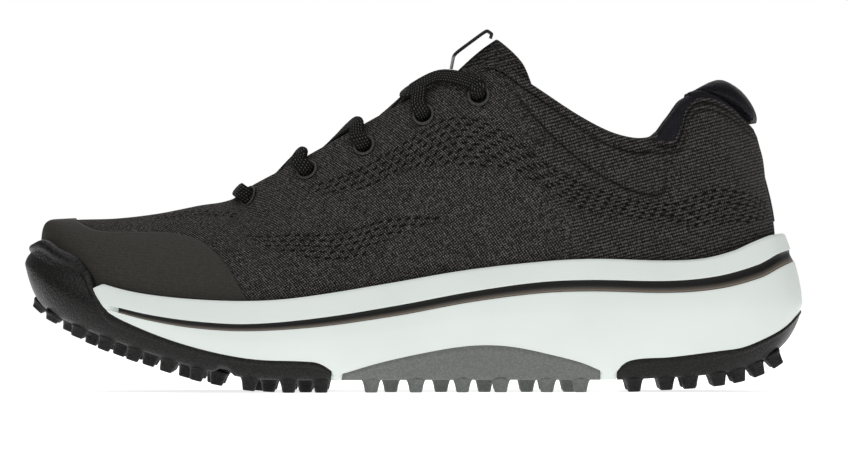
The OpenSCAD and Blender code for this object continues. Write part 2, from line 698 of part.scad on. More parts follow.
lace_bar = [
    bar_knots(-1)[1], bar_knots(-1)[0],
    [arch(eyelets[0][0], 0.5) - 3 * throat_in(eyelets[0][0], 0), -throat_in(eyelets[0][0], 0)],
    bar_knots(1)[0], bar_knots(1)[1]
];
lace_knots = concat(reverse(strand(-1)), lace_bar, strand(1));

function knot(i, j) = lace_knots[clamp(i, 0, len(lace_knots) - 1)][j];
function smooth(i, t, j) =
    let (a = knot(i - 1, j), b = knot(i, j), c = knot(i + 1, j), d = knot(i + 2, j))
    0.5 * (2 * b + (c - a) * t + (2 * a - 5 * b + 4 * c - d) * t * t
        + (3 * b - a - 3 * c + d) * t * t * t);
lace_sides = 8;
function lace_ring(i, t) =
    let (
        p = smooth(i, t, 0), travel = unit(smooth(i, t + 0.02, 0) - smooth(i, t - 0.02, 0)),
        wide = unit(cross(travel, smooth(i, t, 1))), flat = cross(wide, travel)
    )
    [for (k = [0:lace_sides - 1]) let (a = 360 * (k + 0.5) / lace_sides)
        p + lace_width / 2 * cos(a) * wide - lace_thickness / 2 * sin(a) * flat];
module lace() {
    last = len(lace_knots) - 1;
    color(lace_black)
    tube(concat([for (i = [0:last - 1], t = [0, 0.5]) lace_ring(i, t)], [lace_ring(last, 0)]));
}

aglet_radius = 1.5;
aglet_length = 14;
module aglet(tip, before) {
    d = unit(tip - before);
    x = unit(cross([0, 0, 1], d));
    y = cross(d, x);
    p = tip + gap * d;
    multmatrix([
        [x[0], y[0], d[0], p[0]], [x[1], y[1], d[1], p[1]], [x[2], y[2], d[2], p[2]], [0, 0, 0, 1]
    ]) cylinder(r = aglet_radius, h = aglet_length);
}
module aglets() {
    n = len(lace_knots);
    color(film_black) {
        aglet(lace_knots[0][0], lace_knots[1][0]);
        aglet(lace_knots[n - 1][0], lace_knots[n - 2][0]);
    }
}

// ---- Sole -------------------------------------------------------------------------------------

// Cross-section stations, with a close pair on either side of each end of an outsole piece.
sole_us = [
    for (i = [0:17]) i / columns, forefoot_end + 0.01, forefoot_end + 0.03,
    arch_start - 0.03, arch_start - 0.01, for (i = [18:25]) i / columns, arch_end + 0.01,
    arch_end + 0.03, heel_start - 0.03, heel_start - 0.01, for (i = [27:39]) i / columns
];
bottom_steps = 4;
function ladder(a, b, n) = [for (k = [1:n - 1]) mix(a, b, k / n)];
function on_floor(p, lift) = [p[0], p[1], floor_z(p[0]) + lift];

// Outsole piece between two stations: a trough whose walls end at the piece's edge.
wall_steps = 5;
function trough_line(u, push) =
    let (
        left = [for (k = [0:wall_steps]) wall(-u, mix(edge_at(-u), 1, k / wall_steps), push)],
        right = [for (k = [wall_steps:-1:0]) wall(u, mix(edge_at(u), 1, k / wall_steps), push)]
    )
    concat(
        left, [for (p = ladder(left[wall_steps], right[0], bottom_steps)) on_floor(p, push)], right
    );
function between_us(from, to) = [
    from, for (i = [ceil(from * columns + 0.1):floor(to * columns - 0.1)]) i / columns, to
];
module trough(from, to) {
    between(
        [for (u = between_us(from, to)) trough_line(u, 0)],
        [for (u = between_us(from, to)) trough_line(u, outsole_thickness)],
        closed_ends = [from == 0, to == heel_station]
    );
}

// Studs stand square to the underside. A row follows each side; the field between is staggered.
function side_y(table, x) = lookup(x, table);
function underside_tilt(x) = atan((floor_z(x + 1) - floor_z(x - 1)) / 2);
stud_root = 0.8;
// The studs get shorter up the toe, in front of short_from.
short_stud = 0.55;
short_from = -112;
short_blend = 18;
function stud_length(x) = stud_height * mix(1, short_stud, ease((short_from - x) / short_blend));
module stud(x, y) {
    translate([x, y, floor_z(x) + stud_root])
    rotate([180, -underside_tilt(x), 0])
    cylinder(r1 = stud_base, r2 = stud_tip, h = stud_length(x) + stud_root);
}
module edge_studs(xs, inset) {
    for (x = xs) {
        stud(x, side_y(inner_side, x) + inset);
        stud(x, side_y(outer_side, x) - inset);
    }
}
module field_studs(from, to, pitch, margin) {
    for (i = [0:floor((to - from) / pitch)]) {
        x = from + i * pitch;
        low = side_y(inner_side, x) + margin;
        high = side_y(outer_side, x) - margin;
        n = floor((high - low) / pitch) - (i % 2);
        middle = (low + high) / 2;
        if (n >= 0)
            for (k = [0:n]) stud(x, middle + (k - n / 2) * pitch);
    }
}
forefoot_stud_xs = [-129, -119.5, -109.7, -99.5, -87.5, -77, -58.7, -45, -33.4];
forefoot_inner_xs = [-123, -114.5, -104.5, -94, -81, -70, -52, -39];
arch_stud_xs = [-15.5, 0.5, 17.2, 30.9, 47.5, 59.5];
arch_inner_xs = [-8.5, 9.5, 25.1, 40.3, 55.5];
heel_stud_xs = [78.6, 90.1, 98.4, 108.6, 115.5, 122, 128];
heel_inner_xs = [78.6, 90.1, 98.4, 108.6, 115.5];
module forefoot_outsole() {
    color(rubber_black) {
        trough(0, forefoot_end);
        edge_studs(forefoot_stud_xs, 8);
        edge_studs(forefoot_inner_xs, 18);
        field_studs(-119.5, -39, 16, 30);
        stud(-134, -8);
    }
}
module midfoot_outsole() {
    color(plate_grey) {
        trough(arch_start, arch_end);
        edge_studs(arch_stud_xs, 8);
        edge_studs(arch_inner_xs, 17);
    }
}
module heel_outsole() {
    color(rubber_black) {
        trough(heel_start, heel_station);
        edge_studs(heel_stud_xs, 8);
        edge_studs(heel_inner_xs, 17);
        field_studs(90.1, 109, 9.2, 27);
        stud(122, 0);
    }
}

// Midsole: outer wall with its channel, the underside behind the outsole, and the cup inside.
cup_rows = 5;
cup_clearance = 1.9;
// The midsole stops short of the bumper's top edge, forward of bumper_back.
bumper_margin = 0.25;
bumper_back = -98;
bumper_blend = 6;
channel_nose = -111;
// Where the outsole's edge stands above high_edge there is no channel, and the foam is cut back
// from cut_top down. Elsewhere the channel keeps clear of the lip and of the outsole's edge.
high_edge = -0.15;
cut_top = -0.5;
cut_limit = -0.3;
cut_step = 0.1;
lip_stop = -0.9;
top_clear = 0.2;
low_clear = 0.1;
channel_corner = 0.1;
wall_rows = 10;
function cup_inset(w) = curve(upper_inset, plan_x(w)) - cup_clearance;
// Rows of the outer wall as [a, push]: rim, channel, belly, edge of the outsole, underside.
function midsole_rows(w) =
    let (
        x = plan_x(w), e = edge_at(w) - bumper_margin * ease((bumper_back - x) / bumper_blend),
        top = wall_at(w, curve(channel_top, x)), low = wall_at(w, curve(channel_low, x)),
        deep = channel_depth * ease((x - channel_nose) / bumper_blend),
        cover = outsole_thickness + bed_gap
    )
    e < high_edge ? let (split = max(e, cut_limit) + cut_step, high_rows = wall_rows - 4) [
        for (k = [0:high_rows]) [mix(cut_top, split, k / high_rows), cover],
        for (k = [1:3]) [mix(split, 1, k / 3), cover]
    ]
        : let (
            t = max(lip_stop, min(top, e - top_clear)), l = min(low, e - low_clear),
            c = is_covered(abs(w)) ? cover : 0
        )
        [
            [-1, 0], [t, 0], [mix(t, l, channel_corner), deep], [mix(l, t, channel_corner), deep], [l, 0],
            [mix(l, e, 0.5), 0], [e - 0.01, 0], [e + 0.004, c], [mix(e, 1, 0.5), c], [1, c]
        ];
function midsole_outer(u) =
    let (
        left = [for (r = midsole_rows(-u)) wall(-u, r[0], r[1])],
        right = reverse([for (r = midsole_rows(u)) wall(u, r[0], r[1])]),
        lift = is_covered(u) ? outsole_thickness + bed_gap : 0
    )
    concat(left, [for (p = ladder(left[wall_rows - 1], right[0], bottom_steps)) on_floor(p, lift)], right);
function cup_wall(w) = [for (k = [0:cup_rows])
    inside_edge(w, cup_inset(w), mix(wall(w, midsole_rows(w)[0][0])[2], platform_z(w), k / cup_rows))];
function midsole_inner(u) =
    let (
        left = cup_wall(-u), right = reverse(cup_wall(u)),
        across = 2 * (wall_rows - cup_rows - 1) + bottom_steps
    )
    concat(left, ladder(left[cup_rows], right[0], across), right);
module midsole() {
    color(foam_white)
    between(
        [for (u = sole_us) midsole_outer(u)], [for (u = sole_us) midsole_inner(u)],
        closed_ends = [true, true]
    );
}

inlay_start = 3.33;
inlay_rows = 2;
function inlay_line(w, depth) =
    let (top = curve(channel_top, plan_x(w)) - 0.5, low = curve(channel_low, plan_x(w)) + 0.5)
    [for (k = [0:inlay_rows]) wall(w, wall_at(w, mix(low, top, k / inlay_rows)), depth)];
module channel_inlay() {
    ws = cols(inlay_start, 2 * heel_station - inlay_start);
    color(inlay_brown)
    between([for (w = ws) inlay_line(w, 0.3)], [for (w = ws) inlay_line(w, channel_depth - 0.3)]);
}

// Flat pieces inside the cup: one row of points across the shoe at each station.
board_us = [for (i = [0:2 * heel_station]) i / 2];
board_steps = 4;
function board_line(u, inset, lift) =
    let (
        a = inside_edge(-u, curve(upper_inset, plan_x(-u)) + inset, platform_z(-u) + lift),
        b = inside_edge(u, curve(upper_inset, plan_x(u)) + inset, platform_z(u) + lift)
    )
    [for (k = [0:board_steps]) mix(a, b, k / board_steps)];
module board(inset, low, thickness) {
    between(
        [for (u = board_us) board_line(u, inset, low)],
        [for (u = board_us) board_line(u, inset, low + thickness)],
        closed_ends = [true, true]
    );
}
board_thickness = 1.2;
board_low = 0.3;
footbed_low = board_low + board_thickness + 0.3;
footbed_inset = 6.6;
cover_thickness = 1.2;
module strobel_board() {
    color(board_beige) board(4.6, board_low, board_thickness);
}
module footbed() {
    color(foam_grey) board(footbed_inset, footbed_low, footbed_thickness);
}
module footbed_cover() {
    color(lycra_black) board(footbed_inset, footbed_low + footbed_thickness + gap, cover_thickness);
}

scale(grade) knit_forefoot();
scale(grade) knit_heel();
scale(grade) toe_guard();
scale(grade) toe_puff();
scale(grade) heel_counter();
scale(grade) eyestay(cols(-8, -5.33));  // eyestay_medial
scale(grade) eyestay(cols(5.33, 8));  // eyestay_lateral
scale(grade) eyelet_row(-1);  // eyelets_medial
scale(grade) eyelet_row(1);  // eyelets_lateral
scale(grade) collar_foam();
scale(grade) lining();
scale(grade) collar_binding();
scale(grade) heel_pillow();
scale(grade) back_seam_tape();
scale(grade) tongue_face();
scale(grade) tongue_foam();
scale(grade) tongue_lining();
scale(grade) lace_keeper();
scale(grade) lace();
scale(grade) aglets();
scale(grade) strobel_board();
scale(grade) footbed();
scale(grade) footbed_cover();
scale(grade) midsole();
scale(grade) channel_inlay();
scale(grade) forefoot_outsole();
scale(grade) midfoot_outsole();
scale(grade) heel_outsole();
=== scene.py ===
import math

import bpy
import numpy as np
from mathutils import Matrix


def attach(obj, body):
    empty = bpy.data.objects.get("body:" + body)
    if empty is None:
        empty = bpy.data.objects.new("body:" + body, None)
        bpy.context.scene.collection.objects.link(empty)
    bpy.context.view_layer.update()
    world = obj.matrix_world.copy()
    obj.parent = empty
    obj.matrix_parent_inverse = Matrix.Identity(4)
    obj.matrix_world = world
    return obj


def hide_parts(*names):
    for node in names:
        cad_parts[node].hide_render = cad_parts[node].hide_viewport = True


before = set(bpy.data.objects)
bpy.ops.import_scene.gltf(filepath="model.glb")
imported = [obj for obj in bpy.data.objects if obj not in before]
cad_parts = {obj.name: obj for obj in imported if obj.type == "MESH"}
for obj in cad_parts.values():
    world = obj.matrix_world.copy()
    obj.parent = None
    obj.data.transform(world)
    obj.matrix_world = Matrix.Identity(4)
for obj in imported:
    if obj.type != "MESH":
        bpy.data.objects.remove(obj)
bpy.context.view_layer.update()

# The shoe's own formulas, in millimetres, give every surface at a finer step than the CAD solids.
# The toe points towards -X and the inner side faces -Y. MM turns the result into metres.
MM = 0.001
UP = np.array([0.0, 0.0, 1.0])

# ---- Curves ---------------------------------------------------------------------------------------


def mix(a, b, t):
    return a + (b - a) * t


def ease(t):
    s = np.clip(t, 0, 1)
    return s * s * (3 - 2 * s)


def window(v, a, b, c, d):
    """0 outside a..d and 1 between b and c, with smooth ends."""
    return ease((v - a) / (b - a)) * ease((d - v) / (d - c))


def unit(v):
    return v / np.maximum(np.linalg.norm(v, axis=-1, keepdims=True), 1e-9)


def alike(*values):
    """The values as float arrays of one shape."""
    return np.broadcast_arrays(*[np.asarray(v, float) for v in values])


def lattice(rows, columns):
    return np.broadcast_arrays(rows[:, None], columns[None, :])


def run_length(points):
    """Length along a line of points, at each of them."""
    return np.concatenate([[0], np.cumsum(np.linalg.norm(np.diff(points, axis=0), axis=1))])


def hermite(a, b, slope_a, slope_b, h, t):
    """Smooth curve from a to b over a key step of h, with a given slope at each end."""
    s = 1 - t
    return (a * (1 + 2 * t) * s * s + slope_a * h * t * s * s
            + b * t * t * (3 - 2 * t) - slope_b * h * t * t * s)


def catmull(a, b, c, d, t):
    """Smooth curve from b to c, where a comes before and d after."""
    return 0.5 * (2 * b + (c - a) * t + (2 * a - 5 * b + 4 * c - d) * t * t
                  + (3 * b - a - 3 * c + d) * t ** 3)


class Curve:
    """Smooth curve through rows [key, value], where a value is a number or a point."""

    def __init__(self, rows):
        self.keys = np.array([r[0] for r in rows], float)
        self.values = np.array([r[1] for r in rows], float)
        index = np.arange(len(rows))
        a, b = np.maximum(index - 1, 0), np.minimum(index + 1, len(rows) - 1)
        step = self.keys[b] - self.keys[a]
        if self.values.ndim == 2:
            step = step[:, None]
        self.slopes = (self.values[b] - self.values[a]) / step

    def __call__(self, key):
        key = np.clip(np.asarray(key, float), self.keys[0], self.keys[-1])
        i = np.clip(np.searchsorted(self.keys, key, side="right") - 1, 0, len(self.keys) - 2)
        h = self.keys[i + 1] - self.keys[i]
        t = (key - self.keys[i]) / h
        if self.values.ndim == 2:
            h, t = h[..., None], t[..., None]
        return hermite(self.values[i], self.values[i + 1], self.slopes[i], self.slopes[i + 1], h, t)


def bezier(a, b, c, d, t):
    s = 1 - t
    return s * s * s * a + 3 * s * s * t * b + 3 * s * t * t * c + t * t * t * d


# ---- Plan and side view of the sole -----------------------------------------------------------------

# Stations count points of the outline from 0 at the toe to HEEL at the back. They are negative on the
# inner side.
HEEL = 13
INNER_SIDE = np.array([
    [-140, -8], [-137, -22], [-126, -35.5], [-106, -45.5], [-80, -50.5], [-52, -51], [-22, -46.5],
    [12, -40.5], [46, -38], [80, -38.5], [110, -36], [130, -25.5], [138, -12.5], [140, 0],
])
OUTER_SIDE = np.array([
    [-140, -8], [-138, 6], [-128, 21.5], [-108, 35.5], [-80, 45], [-50, 50.5], [-20, 51],
    [14, 47.5], [48, 43.5], [82, 41], [111, 37], [130.5, 26], [138, 13], [140, 0],
])
OUTLINE = np.concatenate([INNER_SIDE, OUTER_SIDE[1:-1][::-1]])

toe_spring = Curve([
    [-140, 38.5], [-138.5, 32.5], [-134.5, 27], [-128, 22.5], [-110, 15], [-92, 8.7], [-75, 3.7],
    [-60, 0.9], [-45, 0], [70, 0], [90, 0.8], [105, 1.8], [117, 3.8], [126, 7.3], [133, 12.5],
    [137.5, 18], [140, 23.5],
])
belly = Curve([
    [-140, 46], [-130, 38], [-110, 30], [-80, 21.5], [-55, 18], [-10, 22], [25, 27], [70, 29],
    [110, 30], [140, 32],
])
rim = Curve([
    [-140, 50.5], [-131, 45.5], [-124, 42.5], [-117, 40], [-103, 36.3], [-86, 34], [-66, 32.9],
    [-50, 33.2], [-35, 34.8], [-9, 39], [20, 44], [49, 47.2], [66, 47.9], [90, 47.3], [104, 48],
    [117, 50.8], [125, 53.8], [132, 56], [140, 57],
])
channel_top = Curve([
    [-111, 31.4], [-95, 27.7], [-78, 25.3], [-59, 24.4], [-34, 26.5], [-5, 31.1], [20, 35.8],
    [45, 39.3], [63, 40.1], [92, 39.8], [110, 41.6], [125, 45.5], [133, 49], [140, 51],
])
channel_low = Curve([
    [-111, 30.4], [-95, 26.2], [-78, 23.4], [-59, 22.4], [-34, 23.9], [-5, 28], [20, 32.6],
    [45, 35.8], [63, 36.5], [92, 36], [110, 37.5], [125, 41.2], [133, 44.7], [140, 47.3],
])
forefoot_edge = Curve([
    [-140, 53], [-136, 54.3], [-131, 51.2], [-124.5, 48], [-121, 44.4], [-118, 40.5], [-115.4, 36],
    [-111.8, 31], [-109, 27.3], [-99, 22.4], [-85, 17.3], [-70, 13.4], [-56, 11.2], [-36, 10.3],
    [-32, 9], [-28, 6.4],
])
arch_edge = Curve([
    [-25, 6.4], [-12, 10], [2, 13], [16, 15.3], [26, 15.9], [36, 15.2], [49, 12.6], [60, 9.8],
    [68, 6.6],
])
heel_edge = Curve([
    [72, 6.4], [75, 9.6], [80, 11.1], [92, 11.8], [110, 14.1], [118, 15.4], [125, 18.2], [132, 22],
    [136, 25.2], [140, 30],
])
rim_inset = Curve([[-140, 2.2], [-117, 4.2], [-60, 5], [60, 5.2], [110, 5.6], [140, 6.4]])
upper_inset = Curve([[-140, 5.8], [-117, 7.2], [-60, 8], [60, 8], [110, 8.8], [140, 9.8]])

STUD_HEIGHT = 4.5
STUD_BASE = 3.1
STUD_TIP = 2.2
STUD_ROOT = 0.8
SHORT_STUD = 0.55
CORNER = 6
WALL_LEAN = 1.6
CUP_DEPTH = 7
CUP_CLEARANCE = 1.9
SOLE_SKIN = 1.9
CHANNEL_DEPTH = 1.6
CHANNEL_EXTRA = 0.35
FOREFOOT_END, ARCH_START, ARCH_END, HEEL_START = 5.77, 5.90, 8.59, 8.77


def fold(w):
    w = np.asarray(w, float)
    return np.where(w > HEEL, w - 2 * HEEL, np.where(w < -HEEL, w + 2 * HEEL, w))


def outline_at(w):
    v = -np.asarray(w, float)
    i = np.floor(v).astype(int)
    t = (v - i)[..., None]
    return catmull(*[OUTLINE[(i + k) % len(OUTLINE)] for k in (-1, 0, 1, 2)], t)


def outline_out(w):
    d = outline_at(w + 0.02) - outline_at(w - 0.02)
    return unit(np.stack([-d[..., 1], d[..., 0]], -1))


def plan_x(w):
    return outline_at(w)[..., 0]


def inside_edge(w, inset, z):
    w = np.asarray(w, float)
    p = outline_at(w) - np.asarray(inset, float)[..., None] * outline_out(w)
    return np.concatenate([p, np.broadcast_to(z, p.shape[:-1])[..., None]], -1)


def floor_z(x):
    return STUD_HEIGHT + np.maximum(0, toe_spring(x))


def platform_z(w):
    return rim(plan_x(w)) - CUP_DEPTH


def wall(w, a, push=0.0):
    """Point of the sole's outer wall: a is -1 at the rim, 0 at the belly and 1 at the underside."""
    w, a, push = alike(w, a, push)
    x = plan_x(w)
    z = belly(x)
    rise_share = np.clip(-a, 0, None)
    lean = np.minimum(rise_share ** WALL_LEAN, 0.8 + 0.4 * ease((x + 130) / 10))
    high = inside_edge(w, rim_inset(x) * lean + push, mix(z, rim(x), rise_share))
    turn = np.radians(90 * np.clip(a, 0, 1))
    inset = CORNER * (1 - np.cos(turn))
    low_z = floor_z(inside_edge(w, inset, 0)[..., 0])
    low = inside_edge(w, inset + push * np.cos(turn),
                      mix(z, low_z, np.sin(turn)) + push * np.sin(turn))
    return np.where((a <= 0)[..., None], high, low)


def wall_at(w, z):
    x = plan_x(w)
    middle = belly(x)
    down = np.degrees(np.arcsin(np.clip((middle - z) / (middle - floor_z(x)), 0, 1))) / 90
    return np.where(z >= middle, -(z - middle) / (rim(x) - middle), down)


def edge_at(w):
    """Where the top edge of the outsole piece at station w meets the wall."""
    u, x = np.abs(w), plan_x(w)
    z = np.where(u < (FOREFOOT_END + ARCH_START) / 2, forefoot_edge(x),
                 np.where(u < (ARCH_END + HEEL_START) / 2, arch_edge(x), heel_edge(x)))
    return wall_at(w, z)


# ---- Upper ----------------------------------------------------------------------------------------

THROAT_START = 5
KNIT = 1.5
KNIT_GAP = 0.2
LINING = 0.8
COLLAR_FOAM = 4.4
HEEL_COUNTER = 1.6
TOE_PUFF = 1.2
EYESTAY = 0.8
THIN_FILLING = 0.3
SUNK = 0.3  # how far the hidden face of a film or tape lies below the knit's surface
top_line = Curve([
    [0, [-127.5, -8, 61.6]], [1, [-119, -7.4, 62]], [2, [-106, -6.2, 62.4]], [3, [-92, -5, 64.1]],
    [4, [-78, -4, 67]], [5, [-66, -3.4, 69.3]], [5.4, [-59, -11, 74]], [6, [-44, -15.5, 82]],
    [7, [-9, -19, 101.5]], [7.6, [13, -20.5, 113.5]], [8, [27, -22, 118]], [8.4, [40, -25.5, 110.6]],
    [9, [59, -29.5, 97.8]], [9.5, [73, -31, 91]], [10, [84.5, -31.3, 90.2]],
    [10.4, [91, -30.5, 97]], [10.8, [97, -28.5, 104]], [11.3, [104.5, -24.5, 106]],
    [12, [113.5, -15.5, 102.2]], [12.5, [119, -8, 97]], [13, [121.5, 0, 94.2]],
])
ridge_y = Curve([[0, -8], [5, -3.4], [8, -1.5], [13, 0]])
rise = Curve([[0, 17], [1, 17], [3, 20], [5, 24], [7, 30], [9, 22], [11, 18], [13, 16]])
bulge = Curve([[0, 0], [3, 1], [6, 2.5], [9, 3.5], [11, 1.5], [13, 0.6]])
spread = Curve([
    [0, 6.5], [1, 10], [2, 15], [3, 19], [4, 20], [5, 19], [6, 14], [7, 13], [8, 10], [9, 2.5],
    [11, 3], [13, 3.6],
])
drop = Curve([[0, 0], [4.4, 0], [5.4, 4], [6, 6], [7, 9], [8, 14], [9, 18], [11, 20], [13, 15]])


def top_at(w):
    p, middle = top_line(np.abs(w)), ridge_y(np.abs(w))
    y = np.where((w <= 0) | (w <= THROAT_START), p[..., 1], 2 * middle - p[..., 1])
    return np.stack([p[..., 0], y, p[..., 2]], -1)


def skin(v, t):
    """Outer surface of the upper: t is 0 at the sole and 1 at the top line."""
    w, t = alike(fold(v), t)
    u = np.abs(w)
    foot = inside_edge(w, upper_inset(plan_x(w)), platform_z(w) + 0.2)
    top, flat = top_at(w), outline_out(w)
    out = np.concatenate([flat, np.zeros_like(flat[..., :1])], -1)
    across = foot - top
    across[..., 2] = 0
    b = foot + UP * rise(u)[..., None] + bulge(u)[..., None] * out
    turned = mix(unit(across), out, ease((u - 5) / 3)[..., None])
    c = top + spread(u)[..., None] * turned - UP * drop(u)[..., None]
    return bezier(foot, b, c, top, t[..., None])


def skin_out(w, t):
    w, t = alike(w, t)
    along = skin(w + 0.03, t) - skin(w - 0.03, t)
    up = skin(w, np.minimum(t + 0.01, 1)) - skin(w, np.maximum(t - 0.01, 0))
    u = np.abs(fold(w))
    d = top_line(np.minimum(u + 0.05, THROAT_START)) - top_line(np.maximum(u - 0.05, 0))
    ridge = unit(np.stack([-d[..., 2], 0 * d[..., 0], d[..., 0]], -1))
    on_ridge = (t > 0.999) & (u <= THROAT_START + 0.001)
    return np.where(on_ridge[..., None], ridge, unit(np.cross(up, along)))


def under(w, t, depth):
    """Point at a depth below the upper's outer surface."""
    return skin(w, t) - np.asarray(depth, float)[..., None] * skin_out(w, t)


def foam_at(w, t):
    """Thickness of what lies between knit and lining: foam, counter, puff and reinforcements."""
    u = np.abs(fold(w))
    covers = [
        (COLLAR_FOAM, window(u, 8.2, 9.4, 20, 21) * window(t, 0.5, 0.8, 0.92, 1.12)),
        (HEEL_COUNTER, window(u, 9.9, 10.8, 20, 21) * window(t, -0.2, -0.1, 0.3, 0.6)),
        (TOE_PUFF, window(u, -1, -0.5, 1.6, 2.7) * window(t, -0.2, -0.1, 0.6, 0.9)),
        (EYESTAY, window(u, 5.1, 5.6, 7.8, 8.2) * window(t, 0.6, 0.72, 1.1, 1.2)),
    ]
    return np.max([THIN_FILLING + (thick - THIN_FILLING) * cover for thick, cover in covers], axis=0)


def lining_depth(w, t):
    return KNIT + KNIT_GAP + foam_at(w, t)


def inside_depth(w, t):
    return lining_depth(w, t) + LINING


# ---- Meshes from grids ----------------------------------------------------------------------------


WELD = 2000  # steps per millimetre in which points are compared


def weld_key(points):
    return np.round(points * WELD).astype(np.int64)


def linked(name, data):
    thing = bpy.data.objects.new(name, data)
    bpy.context.scene.collection.objects.link(thing)
    return thing


def add_mesh(name, points, faces, look, slot, nodes=None, body="shoe", values=None):
    """A piece from points in millimetres. It replaces the CAD nodes, or the one of its own name.
    Coinciding points are welded, unused ones dropped."""
    nodes = nodes or [name]
    key = weld_key(points)
    _, first, index = np.unique(key, axis=0, return_index=True, return_inverse=True)
    index = index.reshape(-1)
    clean = []
    for f in faces:
        ring = [index[i] for i in f]
        ring = [a for k, a in enumerate(ring) if a != ring[k - 1]]
        if len(ring) > 2 and len(set(ring)) == len(ring):
            clean.append(ring)
    used = sorted({i for f in clean for i in f})
    place = {old: new for new, old in enumerate(used)}
    mesh = bpy.data.meshes.new(name)
    mesh.from_pydata((points[first[used]] * MM).tolist(), [], [[place[i] for i in f] for f in clean])
    for label, value in (values or {}).items():
        attribute = mesh.attributes.new(label, "FLOAT", "POINT")
        attribute.data.foreach_set("value", value[first[used]].astype(np.float32))
    mesh.validate()
    mesh.shade_smooth()
    mesh.materials.append(LOOKS[look])
    piece = linked(name, mesh)
    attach(piece, body)
    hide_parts(*nodes)
    return piece


def sheet_faces(n, m, wrap=False):
    """Quads between neighbouring points of an n by m grid."""
    faces = []
    for i in range(n if wrap else n - 1):
        k = (i + 1) % n
        for j in range(m - 1):
            faces.append([k * m + j, k * m + j + 1, i * m + j + 1, i * m + j])
    return faces


def ring_faces(n, m, wrap=False):
    """Quads between n neighbouring rings of m points each."""
    faces = []
    for i in range(n if wrap else n - 1):
        k = (i + 1) % n
        for j in range(m):
            after = (j + 1) % m
            faces.append([i * m + j, k * m + j, k * m + after, i * m + after])
    return faces


def shell(outer, inner, wrap=False, keep=None):
    """Points and faces of the closed solid between two grids of one size, without the quads that
    keep leaves out. Every open edge gets a wall."""
    n, m = outer.shape[:2]
    half = n * m
    count = n if wrap else n - 1
    keep = np.ones((count, m - 1), bool) if keep is None else keep
    faces = []
    for i in range(count):
        k = (i + 1) % n
        for j in range(m - 1):
            if not keep[i, j]:
                continue
            a, b, c, d = i * m + j, i * m + j + 1, k * m + j + 1, k * m + j
            faces += [[a, d, c, b], [half + a, half + b, half + c, half + d]]
            before = (i - 1) % count if wrap else i - 1
            after = (i + 1) % count if wrap else i + 1
            if before < 0 or not keep[before, j]:
                faces.append([a, b, half + b, half + a])
            if after >= count or not keep[after, j]:
                faces.append([c, d, half + d, half + c])
            if j == 0 or not keep[i, j - 1]:
                faces.append([d, a, half + a, half + d])
            if j == m - 2 or not keep[i, j + 1]:
                faces.append([b, c, half + c, half + b])
    return np.concatenate([outer.reshape(-1, 3), inner.reshape(-1, 3)]), faces


def shell_values(outer_only=(), **values):
    """Values for a shell's points from grids of them, 0 on its inner side where outer_only."""
    return {name: np.concatenate([v.reshape(-1), (name not in outer_only) * v.reshape(-1)])
            for name, v in values.items()}


def tube(rings):
    """Points and faces of a closed solid through rings of points."""
    n, m = rings.shape[:2]
    ends = [list(range(m)), list(range((n - 1) * m, n * m))[::-1]]
    return rings.reshape(-1, 3), ring_faces(n, m) + ends


def lathe(profile, sides):
    """Rings of a profile of [radius, height] turned about Z."""
    a = np.linspace(0, 2 * np.pi, sides, endpoint=False)
    r, z = np.array(profile, float).T
    return np.stack([r[:, None] * np.cos(a), r[:, None] * np.sin(a), z[:, None] + 0 * a], -1)


def placed(points, origin, x, y, z):
    return origin + points[..., :1] * x + points[..., 1:2] * y + points[..., 2:] * z


def joined(parts):
    """One list of points and faces from several."""
    points, faces, start = [], [], 0
    for p, f in parts:
        points.append(p.reshape(-1, 3))
        faces += [[start + i for i in face] for face in f]
        start += len(points[-1])
    return np.concatenate(points), faces


# ---- Materials ------------------------------------------------------------------------------------


SLOT_SHIFT = 0.67  # from one row of slots to the next, in slots
SLOT_SLANT = 0.42  # of each slot, in rows per slot


